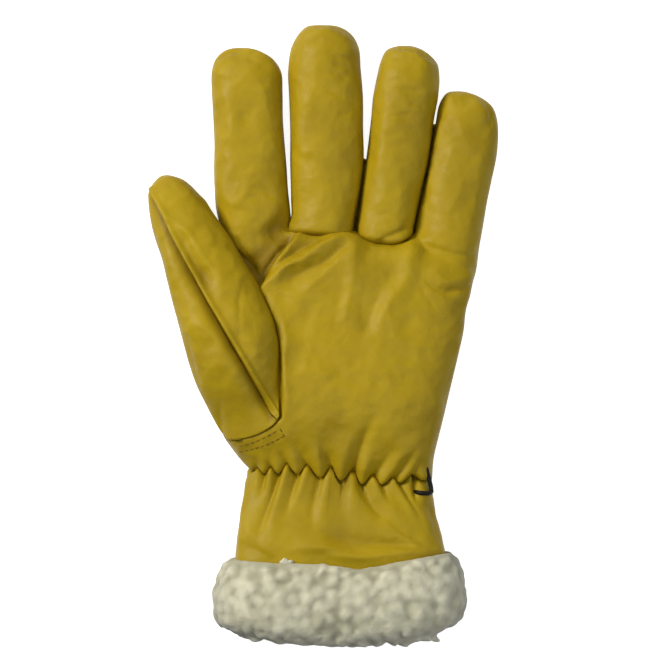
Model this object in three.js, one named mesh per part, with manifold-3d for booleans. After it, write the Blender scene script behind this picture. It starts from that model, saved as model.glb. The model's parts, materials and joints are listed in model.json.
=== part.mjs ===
// Left-hand insulated leather work glove with a rolled pile cuff, lying on its back with the palm up.
// Millimetres. +X runs from the thumb to the little finger, +Y from the cuff to the fingertips, +Z up.
// The origin is the point of the flattened back that rests under the middle of the hand.
import * as THREE from 'three';
import { mergeVertices } from 'three/addons/utils/BufferGeometryUtils.js';
import Module from 'manifold-3d';

const wasm = await Module();
wasm.setup();

// Driving dimensions
const leatherWall = 2.4; // leather and its backing, on the hand, the fingers and the thumb
const cuffWall = 2.0;
const floorWall = 1.6; // what is left of the wall where the glove is flattened underneath
const seamGap = 0.3; // clear space between two sewn pieces
const seamSlant = 0.7; // half the gap, measured across a seam that runs slantwise
const seamHeight = 7; // the seam that joins the palm side to the back
const reach = 400; // longer than the whole glove, for cutting blocks
const wristY = -63; // the shirring line
const cuffEndY = -108; // the leather's lower edge, inside the fold of the pile
const liningTopY = -70; // how far up inside the wrist the pile lining shows
const wireRadius = 1.1;
const handSquareness = 2.5; // how square the hand's and the cuff's rings are: 2 is an ellipse
const fingerSquareness = 2.25;
const thumbSquareness = 2.2;

// Sections: each row is the box round one cut across the piece, from its far end to its near end.
// A row whose left and right are equal is the closed tip.
const index = [
  { y: 129.2, left: -36.5, right: -36.5, low: 12, high: 12 },
  { y: 128.3, left: -44.4, right: -28.6, low: 5, high: 18.5 },
  { y: 125.6, left: -47.8, right: -23.6, low: 2, high: 21.5 },
  { y: 121.8, left: -49.8, right: -20.5, low: 0, high: 23.5 },
  { y: 114.8, left: -50.4, right: -18.6, low: -1, high: 25 },
  { y: 104, left: -50.0, right: -18.4, low: -1.2, high: 25.8 },
  { y: 92, left: -49.5, right: -18.2, low: -1.2, high: 26 },
  { y: 78.8, left: -49.0, right: -17.6, low: -1.2, high: 26 },
  { y: 65.2, left: -48.6, right: -16.3, low: -1.2, high: 26.4 },
  { y: 52, left: -47.0, right: -15.0, low: -1.2, high: 27.4 },
  { y: 38, left: -43.5, right: -13.5, low: -1.2, high: 30 },
  { y: 22, left: -40.0, right: -12.0, low: -1, high: 30 },
];
const middle = [
  { y: 139.6, left: -0.5, right: -0.5, low: 12.5, high: 12.5 },
  { y: 138.7, left: -8.6, right: 8.1, low: 5.5, high: 19.5 },
  { y: 136.2, left: -11.4, right: 12.0, low: 2, high: 22.5 },
  { y: 132.6, left: -13.4, right: 14.6, low: 0, high: 24.5 },
  { y: 126, left: -15.2, right: 16.4, low: -1, high: 26 },
  { y: 111, left: -15.8, right: 17.2, low: -1.2, high: 27 },
  { y: 93, left: -15.4, right: 18.0, low: -1.2, high: 27.4 },
  { y: 76.5, left: -14.9, right: 18.0, low: -1.2, high: 27.4 },
  { y: 61, left: -14.6, right: 15.8, low: -1.2, high: 28 },
  { y: 50, left: -14.9, right: 14.2, low: -1.2, high: 28.4 },
  { y: 43, left: -15.2, right: 13.4, low: -1.2, high: 27.4 },
  { y: 30, left: -13.0, right: 12.0, low: -1, high: 24 },
];
const ring = [
  { y: 130.5, left: 37.0, right: 37.0, low: 12, high: 12 },
  { y: 129.6, left: 31.0, right: 42.6, low: 5, high: 18.5 },
  { y: 127.6, left: 27.9, right: 46.6, low: 2, high: 21.5 },
  { y: 123.6, left: 25.8, right: 50.4, low: 0, high: 24 },
  { y: 114, left: 23.4, right: 52.4, low: -1, high: 25.6 },
  { y: 103.5, left: 22.1, right: 51.3, low: -1.2, high: 26.2 },
  { y: 94, left: 20.9, right: 49.2, low: -1.2, high: 26.4 },
  { y: 79.7, left: 19.0, right: 48.0, low: -1.2, high: 26.6 },
  { y: 66, left: 17.3, right: 44.6, low: -1.2, high: 27 },
  { y: 52, left: 15.7, right: 41.6, low: -1.2, high: 27.4 },
  { y: 40.5, left: 15.1, right: 39.2, low: -1.2, high: 27 },
  { y: 27, left: 14.0, right: 37.0, low: -1, high: 24 },
];
const little = [
  { y: 110, left: 59.4, right: 59.4, low: 11, high: 11 },
  { y: 109, left: 55.0, right: 66.5, low: 4.5, high: 17 },
  { y: 106.4, left: 53.2, right: 72.2, low: 2, high: 20 },
  { y: 102.5, left: 51.8, right: 76.2, low: 0, high: 22 },
  { y: 95, left: 50.5, right: 78.4, low: -1, high: 23.6 },
  { y: 85, left: 49.2, right: 78.3, low: -1.2, high: 24 },
  { y: 74.3, left: 47.0, right: 76.6, low: -1.2, high: 24.4 },
  { y: 63.5, left: 44.8, right: 74.0, low: -1.2, high: 25 },
  { y: 52.7, left: 42.4, right: 72.0, low: -1.2, high: 26 },
  { y: 41.9, left: 40.4, right: 70.2, low: -1.2, high: 27.6 },
  { y: 31, left: 38.0, right: 68.8, low: -1.2, high: 29 },
  { y: 18, left: 34.0, right: 64.5, low: -1, high: 29 },
];
const hand = [
  { y: 47.4, left: 8.0, right: 8.0, low: 13, high: 13 },
  { y: 46.8, left: -36.0, right: 60.0, low: 3, high: 20.5 },
  { y: 45, left: -42.0, right: 65.8, low: 0, high: 25.5 },
  { y: 42, left: -43.4, right: 67.6, low: -1, high: 29 },
  { y: 37, left: -42.8, right: 67.4, low: -1.2, high: 31.5 },
  { y: 31, left: -41.6, right: 66.6, low: -1.2, high: 33 },
  { y: 25, left: -41.0, right: 65.6, low: -1.2, high: 34 },
  { y: 18, left: -40.8, right: 64.6, low: -1.2, high: 35 },
  { y: 11, left: -41.0, right: 63.6, low: -1.2, high: 36 },
  { y: 2, left: -41.8, right: 63.0, low: -1.2, high: 37 },
  { y: -8, left: -43.4, right: 61.0, low: -1.2, high: 38.4 },
  { y: -18, left: -45.0, right: 58.6, low: -1.2, high: 40 },
  { y: -27, left: -46.0, right: 56.4, low: -1.2, high: 41.2 },
  { y: -35, left: -46.4, right: 54.4, low: -1, high: 41.6 },
  { y: -42, left: -45.8, right: 52.4, low: 0, high: 41 },
  { y: -47.5, left: -44.6, right: 50.8, low: 1, high: 40 },
  { y: -52.5, left: -41.6, right: 49.6, low: 2.2, high: 38.6 },
  { y: -57, left: -38.4, right: 49.2, low: 3.4, high: 37 },
  { y: -60.4, left: -35.6, right: 49.1, low: 4.4, high: 35.6 },
  { y: wristY + seamGap / 2, left: -33.6, right: 49.1, low: 5, high: 34.4 },
];
const thumb = [
  { y: 71.6, left: -69.0, right: -69.0, low: 20, high: 20 },
  { y: 70.4, left: -73.0, right: -64.6, low: 14, high: 26 },
  { y: 67.6, left: -76.6, right: -59.8, low: 11, high: 29 },
  { y: 63.4, left: -78.4, right: -55.4, low: 9.6, high: 31.4 },
  { y: 58, left: -78.4, right: -51.0, low: 9, high: 33.6 },
  { y: 51, left: -77.2, right: -46.4, low: 9.4, high: 36 },
  { y: 42.8, left: -74.9, right: -41.2, low: 10.4, high: 38.6 },
  { y: 33.8, left: -72.2, right: -35.2, low: 11.6, high: 41 },
  { y: 24.8, left: -70.0, right: -29.8, low: 13, high: 43 },
  { y: 16, left: -67.8, right: -25.6, low: 14, high: 45 },
  { y: 6.5, left: -65.2, right: -21.8, low: 14.6, high: 46.6 },
  { y: -4, left: -62.6, right: -19.6, low: 14.8, high: 47.6 },
  { y: -14, left: -59.8, right: -19.0, low: 15, high: 47.6 },
  { y: -23, left: -56.4, right: -19.0, low: 15.4, high: 46.4 },
  { y: -31, left: -52.4, right: -19.4, low: 16, high: 44.4 },
  { y: -38, left: -49.4, right: -20.0, low: 17, high: 41.8 },
  { y: -44, left: -46.4, right: -22.0, low: 18, high: 38.6 },
  { y: -48, left: -42.0, right: -26.0, low: 20, high: 33 },
];
const cuff = [
  { y: wristY - seamGap / 2, left: -33.6, right: 49.1, low: 5, high: 34.4 },
  { y: -66, left: -33.2, right: 49.3, low: 5.2, high: 35.6 },
  { y: -69.5, left: -34.2, right: 49.6, low: 5.4, high: 36.8 },
  { y: -74, left: -35.6, right: 50.2, low: 5.6, high: 38 },
  { y: -79, left: -36.9, right: 51.2, low: 5.8, high: 39.4 },
  { y: -85, left: -37.8, right: 52.8, low: 6.2, high: 41 },
  { y: -92, left: -38.6, right: 53.6, low: 6.8, high: 43 },
  { y: -99, left: -39.0, right: 54.4, low: 7.4, high: 44 },
  { y: cuffEndY, left: -38.4, right: 53.8, low: 8, high: 43.4 },
];
const pile = [
  { y: -99.4, left: -40.4, right: 55.6, low: 3, high: 47 },
  { y: -101.5, left: -44.4, right: 59.2, low: 0, high: 50 },
  { y: -105.5, left: -47.6, right: 62.0, low: -1, high: 52.6 },
  { y: -110.5, left: -49.4, right: 63.6, low: -1.4, high: 54.4 },
  { y: -116, left: -50.0, right: 64.2, low: -1.4, high: 55.4 },
  { y: -122, left: -50.0, right: 64.6, low: -1.4, high: 55.6 },
  { y: -127.5, left: -49.4, right: 63.8, low: -1, high: 54.6 },
  { y: -132, left: -47.0, right: 61.0, low: 0, high: 52.4 },
  { y: -135.2, left: -43.0, right: 56.6, low: 3, high: 49 },
  { y: -136.6, left: -38.4, right: 52.0, low: 6.6, high: 45 },
];
// The hollow through the pile lining, open at both ends.
const throat = [
  { y: -60, left: -25.0, right: 41.0, low: 11, high: 28.6 },
  { y: -74, left: -27.6, right: 42.6, low: 11.6, high: 31 },
  { y: -92, left: -29.6, right: 45.2, low: 13, high: 36 },
  { y: -118, left: -31.0, right: 46.0, low: 13.6, high: 38.4 },
  { y: -133, left: -32.6, right: 47.4, low: 11.6, high: 40 },
  { y: -142, left: -36.0, right: 50.6, low: 8, high: 43.6 },
];

// Gathers that the wrist elastic draws up: where each ridge meets the shirring line, how far it
// leans sideways for each millimetre away from the line, how long it is and how high it stands.
const handGathers = [
  { at: -26.5, lean: -0.65, length: 13, height: 1.3 },
  { at: -18.5, lean: -0.65, length: 16, height: 1.7 },
  { at: -11.0, lean: -0.65, length: 19, height: 1.9 },
  { at: -1.8, lean: -0.6, length: 21, height: 2.1 },
  { at: 7.6, lean: -0.24, length: 22, height: 2.2 },
  { at: 16.9, lean: 0.3, length: 21, height: 2.2 },
  { at: 25.9, lean: 0.9, length: 22, height: 2.1 },
  { at: 34.5, lean: 0.85, length: 20, height: 1.8 },
];
const cuffGathers = [
  { at: -28.8, lean: -0.1, length: 15, height: 1.2 },
  { at: -22.5, lean: -0.2, length: 18, height: 1.6 },
  { at: -15.8, lean: -0.35, length: 24, height: 1.8 },
  { at: -6.9, lean: -0.52, length: 27, height: 2.1 },
  { at: 3.6, lean: -0.3, length: 26, height: 2.2 },
  { at: 13.0, lean: 0.1, length: 24, height: 2.2 },
  { at: 22.0, lean: 0.35, length: 26, height: 2.0 },
  { at: 30.6, lean: 0.65, length: 30, height: 1.8 },
];
const gatherHalfWidth = 3.1;
const gatherValley = 0.7; // how far the leather sinks between two ridges

// Folds: the two ends of each crease or ridge, its half width and its height, negative for a valley.
const palmFolds = [
  { from: [-15.3, 44.0], to: [-29.7, 25.2], halfWidth: 3.4, height: 1.6 }, // ridge below the index finger
  { from: [-8.0, 41.0], to: [-24.0, 26.0], halfWidth: 3.6, height: -2.2 },
  { from: [-2.0, 42.0], to: [-20.0, 29.0], halfWidth: 4.0, height: 1.8 },
  { from: [11.0, 38.0], to: [-12.0, 25.0], halfWidth: 5.0, height: -2.6 }, // hollow below the middle finger
  { from: [14.0, 38.0], to: [12.0, 5.0], halfWidth: 4.6, height: 1.6 },
  { from: [7.0, 20.0], to: [3.0, -4.0], halfWidth: 5.0, height: -1.8 },
  { from: [36.0, 33.0], to: [19.0, 0.0], halfWidth: 5.6, height: 1.8 }, // ridge below the ring finger
  { from: [44.0, 24.5], to: [64.0, 21.5], halfWidth: 3.6, height: -2.0 }, // crease below the little finger
  { from: [27.0, -32.0], to: [20.5, -49.0], halfWidth: 4.0, height: -1.6 },
];
const thumbFolds = [
  { from: [-77.0, 60.0], to: [-47.0, 8.0], halfWidth: 3.0, height: 1.5 }, // turned edge of the inner panel
  { from: [-47.0, 8.0], to: [-21.0, -37.0], halfWidth: 3.0, height: 1.3 },
  { from: [-72.5, 60.0], to: [-54.0, 30.0], halfWidth: 3.0, height: 1.4 }, // ridge along the thumb's front
];

// The line of the seam down the thumb, seen from above, from past its tip to past its base
const thumbSeam = [
  { x: -84, y: 74 },
  { x: -77.6, y: 63 },
  { x: -70.8, y: 49.5 },
  { x: -59.4, y: 30.5 },
  { x: -47.2, y: 8.5 },
  { x: -32.6, y: -18 },
  { x: -19.4, y: -38.8 },
  { x: -12, y: -50 },
];

function solidOf(geometry) {
  geometry.deleteAttribute('normal');
  geometry.deleteAttribute('uv');
  const merged = mergeVertices(geometry, 1e-4);
  const triVerts = new Uint32Array(merged.index.array);
  const vertProperties = merged.attributes.position.array;
  return new wasm.Manifold(new wasm.Mesh({ numProp: 3, vertProperties, triVerts }));
}

function unite(solids) {
  return solids.reduce((all, next) => all.add(next));
}

function smoothstep(from, to, value) {
  return THREE.MathUtils.smoothstep(value, from, to);
}

// The height of a set of straight folds at a point seen from above. Each fades out at its ends.
function foldHeight(folds, x, y) {
  let height = 0;
  for (const fold of folds) {
    const [ax, ay] = fold.from;
    const [bx, by] = fold.to;
    const length = Math.hypot(bx - ax, by - ay);
    const along = ((x - ax) * (bx - ax) + (y - ay) * (by - ay)) / length;
    const across = ((x - ax) * (by - ay) - (y - ay) * (bx - ax)) / length;
    const beyond = Math.max(0, -along, along - length);
    height += fold.height * Math.exp(-((across ** 2 + beyond ** 2) / fold.halfWidth ** 2));
  }
  return height;
}

// The height of the gathers at a point, away being its distance from the shirring line.
function gatherHeight(gathers, x, away) {
  if (away < 0) return 0;
  let height = -gatherValley * (1 - smoothstep(0, 22, away));
  for (const gather of gathers) {
    const across = x - gather.at - gather.lean * away;
    const width = gatherHalfWidth * (1 + away / 30);
    const fade = 1 - smoothstep(0.25 * gather.length, gather.length, away);
    height += gather.height * fade * Math.exp(-((across / width) ** 2));
  }
  return height;
}

// A closed tube through a table of sections. Its ring is a rounded box, and relief raises its skin.
function tube(sections, options) {
  const { inset = 0, squareness, front, back, relief, bend = () => 0 } = options;
  const around = front + back;
  const closedTip = sections[0].left === sections[0].right;
  const rings = closedTip ? sections.slice(1) : sections;
  const tip = sections[0];
  const end = rings[rings.length - 1];
  const geometry = new THREE.SphereGeometry(1, around, rings.length + 1);
  const position = geometry.attributes.position;
  for (let i = 0; i < position.count; i += 1) {
    const column = i % (around + 1);
    const row = Math.floor(i / (around + 1));
    const pole = row === 0 || row > rings.length;
    const section = row === 0 ? tip : row > rings.length ? end : rings[row - 1];
    const angle = Math.PI * (column <= front ? 1 - column / front : -(column - front) / back);
    const c = pole ? 0 : Math.cos(angle);
    const s = pole ? 0 : Math.sin(angle);
    const halfWidth = Math.max(0.4, (section.right - section.left) / 2 - inset);
    const halfDepth = Math.max(0.4, (section.high - section.low) / 2 - inset);
    const x = (section.left + section.right) / 2 + halfWidth * Math.sign(c) * Math.abs(c) ** (2 / squareness);
    const z = (section.low + section.high) / 2 + halfDepth * Math.sign(s) * Math.abs(s) ** (2 / squareness);
    const tipInset = closedTip ? inset * THREE.MathUtils.clamp((section.y - tip.y) / 20 + 1, 0, 1) : 0;
    const y = section.y - tipInset;
    const raised = relief && !pole ? relief(x, y, angle) : 0;
    position.setXYZ(i, x + raised * c, y + bend(x, y), z + raised * s);
  }
  return solidOf(geometry);
}

// The height of the hand's or the cuff's skin above a point that lies within its width
function skinHeight(sections, x, y) {
  const below = Math.max(1, sections.findIndex((section) => section.y <= y));
  const before = sections[below - 1];
  const after = sections[below];
  const share = THREE.MathUtils.clamp((before.y - y) / (before.y - after.y), 0, 1);
  const at = (side) => THREE.MathUtils.lerp(before[side], after[side], share);
  const across = Math.abs((2 * x - at('left') - at('right')) / (at('right') - at('left')));
  const depth = (1 - Math.min(1, across) ** handSquareness) ** (1 / handSquareness);
  return (at('low') + at('high') + depth * (at('high') - at('low'))) / 2;
}

function block(lowX, highX, lowY, highY, lowZ, highZ) {
  const geometry = new THREE.BoxGeometry(highX - lowX, highY - lowY, highZ - lowZ);
  geometry.translate((lowX + highX) / 2, (lowY + highY) / 2, (lowZ + highZ) / 2);
  return solidOf(geometry);
}

function above(z) {
  return block(-reach, reach, -reach, reach, z, reach);
}

function below(z) {
  return block(-reach, reach, -reach, reach, -reach, z);
}

// The far end of the hand slopes down towards the little finger, as the finger seams do, and the
// shirring line slopes the same way. A tube that meets them is bent by the same amount.
const knuckleSlope = -0.18;
const wristSlope = -0.08;
const wristFade = 36;
function handBend(x, y) {
  const nearWrist = 1 - smoothstep(0, wristFade, Math.abs(y - wristY));
  return knuckleSlope * x * smoothstep(12, 44, y) + wristSlope * x * nearWrist;
}

function handRelief(x, y, angle) {
  return (foldHeight(palmFolds, x, y) + gatherHeight(handGathers, x, y - wristY)) * frontShare(angle);
}

function handFolds(x, y, angle) {
  return foldHeight(palmFolds, x, y) * frontShare(angle);
}

// One on the palm side, falling to nothing at the side seams
function frontShare(angle) {
  return smoothstep(0, 0.6, Math.sin(angle));
}

const handFacets = { front: 34, back: 7 };
const hollowHandFacets = { front: 18, back: 6 };
const fingerFacets = { front: 9, back: 5 };
const hollowFacets = { front: 5, back: 4 };
const thumbFacets = { front: 12, back: 6 };
const crotchY = 24; // above this the thumb has a wall of its own beside the hand

function handTube(inset) {
  return tube(hand, { inset, ...handFacets, relief: handRelief, bend: handBend, squareness: handSquareness });
}

function fingerTube(sections, inset, facets = fingerFacets) {
  return tube(sections, { inset, ...facets, squareness: fingerSquareness });
}

function thumbTube(inset) {
  if (inset > 0) return tube(everyOther(thumb), { inset, ...hollowFacets, squareness: thumbSquareness });
  const relief = (x, y, angle) => foldHeight(thumbFolds, x, y) * frontShare(angle);
  return tube(thumb, { inset, ...thumbFacets, squareness: thumbSquareness, relief });
}

// A hollow needs fewer rings than the skin: the first two, every second one, and the last
function everyOther(sections) {
  return sections.filter((row, i) => i < 2 || i % 2 === 1 || i === sections.length - 1);
}

function frontSkin(inset) {
  return unite([handTube(inset), fingerTube(index, inset), fingerTube(little, inset)]);
}

// The outsides of the hand and fingers, and the hollow that runs through all of them
const handSkin = frontSkin(0);
const handClearance = frontSkin(-seamGap);
const middleSkin = fingerTube(middle, 0);
const ringSkin = fingerTube(ring, 0);
const handEnd = hand[hand.length - 1];
const wristPassage = tube(
  [{ ...handEnd, y: handEnd.y + 5 }, { ...handEnd, y: handEnd.y - 5 }],
  { inset: leatherWall + 0.3, ...hollowHandFacets, bend: handBend, squareness: handSquareness },
);
const palmHollow = tube(everyOther(hand), {
  inset: leatherWall, ...hollowHandFacets, relief: handFolds, bend: handBend, squareness: handSquareness,
});
const fingerHollows = [index, middle, ring, little].map((sections) => {
  return fingerTube(everyOther(sections), leatherWall, hollowFacets);
});
const beyondCrotch = block(-reach, reach, crotchY, reach, 0, reach);
const besideThumb = frontSkin(-leatherWall - seamGap).intersect(beyondCrotch);
const thumbHollow = thumbTube(leatherWall).subtract(besideThumb);
const hollow = unite([palmHollow, wristPassage, ...fingerHollows, thumbHollow]).intersect(above(floorWall));

// The wire hook that joins the pair. It lies on the cuff and both ends go through the palm's leather.
// Its lift is how far the wire's middle stands off the leather.
const hookRoute = [
  { x: 46.0, y: -56.4, lift: -5 },
  { x: 46.2, y: -58.4, lift: -1 },
  { x: 46.4, y: -60.4, lift: 2.4 },
  { x: 46.7, y: -64, lift: 2.2 },
  { x: 47.0, y: -68.6, lift: 1.8 },
  { x: 46.4, y: -70.8, lift: 1.8 },
  { x: 44.2, y: -71.2, lift: 1.8 },
  { x: 41.6, y: -71.2, lift: 1.8 },
  { x: 39.8, y: -70.4, lift: 1.8 },
  { x: 39.2, y: -68, lift: 2 },
  { x: 39.4, y: -64, lift: 2.6 },
  { x: 39.8, y: -60.6, lift: 2.4 },
  { x: 40.0, y: -58.6, lift: -1 },
  { x: 40.2, y: -56.6, lift: -5 },
];
const wristSections = [...hand.slice(-5), ...cuff];
function skinPoint({ x, y, lift }) {
  const step = 0.2;
  const rise = skinHeight(wristSections, x + step, y) - skinHeight(wristSections, x - step, y);
  const normal = new THREE.Vector3(-rise, 0, 2 * step).normalize();
  return new THREE.Vector3(x, y, skinHeight(wristSections, x, y)).addScaledVector(normal, lift);
}
function hookWire(radius) {
  const section = new THREE.Shape().absarc(0, 0, radius, 0, 2 * Math.PI);
  const extrudePath = new THREE.CatmullRomCurve3(hookRoute.map(skinPoint));
  const options = { steps: 22, curveSegments: 4, extrudePath, bevelEnabled: false };
  return solidOf(new THREE.ExtrudeGeometry(section, options));
}
const hookHole = hookWire(wireRadius + seamGap);

// Pieces of the hand
const palmSide = above(seamHeight + seamGap / 2);
const palm = handSkin.subtract(hollow).intersect(palmSide).subtract(hookHole);
const back = unite([handSkin, middleSkin, ringSkin])
  .subtract(hollow)
  .intersect(below(seamHeight - seamGap / 2))
  .intersect(above(0));
const middleFront = middleSkin.subtract(hollow).subtract(handClearance).intersect(palmSide);
const ringFront = ringSkin
  .subtract(hollow)
  .subtract(handClearance)
  .subtract(fingerTube(middle, -seamGap))
  .intersect(palmSide);

// The thumb is two panels that meet at one long seam
const thumbShell = thumbTube(0).subtract(hollow).subtract(handClearance);
function besideThumbSeam(side) {
  const line = thumbSeam.map(({ x, y }) => new THREE.Vector2(x + side * seamGap * seamSlant, y));
  const outline = [...line, new THREE.Vector2(side * reach, -reach), new THREE.Vector2(side * reach, reach)];
  const geometry = new THREE.ExtrudeGeometry(new THREE.Shape(outline), { depth: 200, bevelEnabled: false });
  geometry.translate(0, 0, -100);
  return solidOf(geometry);
}
const thumbInner = thumbShell.intersect(besideThumbSeam(1));
const thumbOuter = thumbShell.intersect(besideThumbSeam(-1));

// The leather cuff, a gathered sleeve
const cuffFacets = { front: 36, back: 8 };
const hollowCuffFacets = { front: 14, back: 6 };
function lengthen(sections, more) {
  const last = sections.length - 1;
  return sections.map((row, i) => ({ ...row, y: row.y + (i === 0 ? more : 0) - (i === last ? more : 0) }));
}
function cuffRelief(x, y, angle) {
  return gatherHeight(cuffGathers, x, wristY - y) * frontShare(angle);
}
function cuffTube(inset, more) {
  const facets = inset > 0 ? hollowCuffFacets : cuffFacets;
  const relief = inset > 0 ? undefined : cuffRelief;
  const rows = inset > 0 ? everyOther(cuff) : cuff;
  return tube(lengthen(rows, more), { inset, ...facets, relief, bend: handBend, squareness: handSquareness });
}
const cuffLeather = cuffTube(0, 0).subtract(cuffTube(cuffWall, 2)).subtract(hookHole);

// The pile lining, turned out over the end of the cuff in a thick roll of woolly locks
const lockPitch = { around: 13, along: 12 }; // how far apart the locks stand
const lockHeight = 1.4;
const rollGirth = 280;
function pileRelief(x, y, angle) {
  const u = (angle / (2 * Math.PI)) * Math.round(rollGirth / lockPitch.around);
  const v = (2 * Math.PI * y) / lockPitch.along;
  return lockHeight * Math.sin(2 * Math.PI * u + 0.5 * Math.sin(v)) * Math.cos(v);
}
// The roll reaches furthest at the middle of the palm side.
function rollBend(x, y) {
  const middleX = 7;
  return (0.0022 * (x - middleX) ** 2 - 3) * smoothstep(-104, -134, y);
}
const pileRoll = tube(pile, {
  front: 26, back: 12, squareness: handSquareness, relief: pileRelief, bend: rollBend,
});
const liningLength = block(-reach, reach, -reach, liningTopY, -reach, reach);
const lining = cuffTube(cuffWall + seamGap, 4).intersect(liningLength);
const leatherSlot = cuffTube(-seamGap, seamGap).subtract(lining);
const pileCuff = unite([pileRoll.subtract(leatherSlot), lining])
  .subtract(tube(throat, { front: 14, back: 8, squareness: thumbSquareness }))
  .intersect(above(0));

const leather = new THREE.MeshStandardMaterial({ color: 0xb0972b, roughness: 0.5, metalness: 0 });
const pileWool = new THREE.MeshStandardMaterial({ color: 0xdad6c4, roughness: 0.95, metalness: 0 });
const blackWire = new THREE.MeshStandardMaterial({ color: 0x141414, roughness: 0.35, metalness: 0 });

function piece(name, solid, material) {
  const { vertProperties, triVerts } = solid.getMesh();
  const geometry = new THREE.BufferGeometry();
  geometry.setAttribute('position', new THREE.BufferAttribute(vertProperties, 3));
  geometry.setIndex(new THREE.BufferAttribute(triVerts, 1));
  geometry.computeVertexNormals();
  const mesh = new THREE.Mesh(geometry, material);
  mesh.name = name;
  return mesh;
}

const glove = new THREE.Group();
glove.add(
  piece('palm', palm, leather),
  piece('back', back, leather),
  piece('middle_finger_front', middleFront, leather),
  piece('ring_finger_front', ringFront, leather),
  piece('thumb_inner', thumbInner, leather),
  piece('thumb_outer', thumbOuter, leather),
  piece('cuff', cuffLeather, leather),
  piece('pile_cuff', pileCuff, pileWool),
  piece('pair_hook', hookWire(wireRadius), blackWire),
);

export default glove;
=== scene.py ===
"""Left-hand insulated leather work glove with a rolled pile cuff, lying on its back with the palm up.

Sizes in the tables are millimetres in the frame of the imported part: +X from the thumb to the little finger,
+Y from the cuff to the fingertips, +Z up. A finished piece is scaled to metres in its mesh.
"""

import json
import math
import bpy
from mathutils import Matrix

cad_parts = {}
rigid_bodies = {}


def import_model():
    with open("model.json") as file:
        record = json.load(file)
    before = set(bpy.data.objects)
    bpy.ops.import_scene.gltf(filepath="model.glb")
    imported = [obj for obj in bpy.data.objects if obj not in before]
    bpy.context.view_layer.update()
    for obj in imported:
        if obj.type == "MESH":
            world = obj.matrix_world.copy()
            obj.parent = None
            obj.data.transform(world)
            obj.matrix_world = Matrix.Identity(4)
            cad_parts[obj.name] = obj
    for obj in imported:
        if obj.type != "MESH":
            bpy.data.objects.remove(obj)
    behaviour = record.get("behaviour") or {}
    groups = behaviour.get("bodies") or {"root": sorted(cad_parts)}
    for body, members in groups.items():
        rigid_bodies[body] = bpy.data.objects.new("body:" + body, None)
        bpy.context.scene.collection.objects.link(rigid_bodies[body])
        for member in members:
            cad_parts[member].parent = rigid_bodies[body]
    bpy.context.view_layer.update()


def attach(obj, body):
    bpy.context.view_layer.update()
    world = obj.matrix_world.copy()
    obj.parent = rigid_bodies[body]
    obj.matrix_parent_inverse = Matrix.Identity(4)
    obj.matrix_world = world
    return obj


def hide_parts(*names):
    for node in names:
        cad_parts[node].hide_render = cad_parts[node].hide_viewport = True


bl_info = {
    "name": "Insulated Leather Work Glove",
    "version": (1, 0, 0),
    "blender": (4, 5, 0),
    "location": "3D View > Sidebar > Glove",
    "description": "Builds a pile-lined leather work glove over its packed frame",
    "category": "Object",
}

from collections import namedtuple

import bmesh
import bpy
import numpy as np
from mathutils import Matrix, Vector
from mathutils.bvhtree import BVHTree

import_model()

METRES = 0.001

# The leather's tubes, as the box round each cut across them, from their far end to their near end
Section = namedtuple("Section", "y left right low high")

INDEX = [
    Section(129.4, -36.5, -36.5, 12, 12),
    Section(128.9, -42.6, -31, 6, 17.5),
    Section(126.9, -46.2, -26, 3, 20.5),
    Section(123.8, -48.8, -21.8, 0.6, 23),
    Section(118.4, -50.3, -18.7, -0.6, 25),
    Section(110, -50.2, -18.2, -1.2, 26),
    Section(97, -49.5, -18, -1.2, 26.2),
    Section(86, -49, -17.2, -1.2, 26.2),
    Section(75, -49.2, -16.3, -1.2, 26.2),
    Section(65.2, -48.9, -15.7, -1.2, 26.6),
    Section(57, -48.2, -14.8, -1.2, 27),
    Section(50, -46.8, -14.2, -1.2, 27.6),
    Section(38, -43.5, -13.5, -1.2, 27.6),
    Section(22, -40, -12, -1, 26),
]
MIDDLE = [
    Section(139.5, -0.5, -0.5, 12.5, 12.5),
    Section(138.8, -7.6, 7.4, 6, 19),
    Section(137, -9.8, 11, 3, 21.8),
    Section(134.2, -12, 13.9, 0.8, 23.8),
    Section(129.2, -14.4, 16.2, -0.6, 25.4),
    Section(120, -15.7, 17, -1.2, 26.6),
    Section(107.6, -15.3, 18, -1.2, 27.2),
    Section(93, -14.8, 18.1, -1.2, 27.4),
    Section(78, -14.8, 18.3, -1.2, 27.4),
    Section(61, -14.4, 16, -1.2, 28),
    Section(53, -14.4, 14.4, -1.2, 28.4),
    Section(49, -15.5, 13.8, -1.2, 28.8),
    Section(46.6, -15.7, 13.6, -0.8, 28.4),
    Section(45.1, -15.3, 13.4, 0.6, 26.8),
    Section(44.3, -14.4, 12.8, 3.4, 23.6),
]
RING = [
    Section(130.4, 37.6, 37.6, 12, 12),
    Section(129.7, 31.6, 42, 6, 18),
    Section(128.3, 28.6, 45.2, 3.4, 20.6),
    Section(125.6, 26.9, 48.8, 1, 23),
    Section(122, 25.6, 51.6, -0.4, 24.6),
    Section(116, 24.2, 52.5, -1, 25.8),
    Section(107.6, 22.6, 51.9, -1.2, 26.2),
    Section(97, 21.6, 50, -1.2, 26.4),
    Section(86, 20.3, 48.6, -1.2, 26.6),
    Section(76, 19, 47, -1.2, 26.8),
    Section(66, 17.6, 44.6, -1.2, 27),
    Section(54, 16, 42, -1.2, 27.6),
    Section(46.6, 15.2, 40.8, -1.2, 28.2),
    Section(43, 15.2, 40.6, -0.8, 27.8),
    Section(41.2, 15.9, 40, 0.8, 26),
    Section(40.3, 17.2, 38.8, 3.6, 22.8),
]
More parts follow.
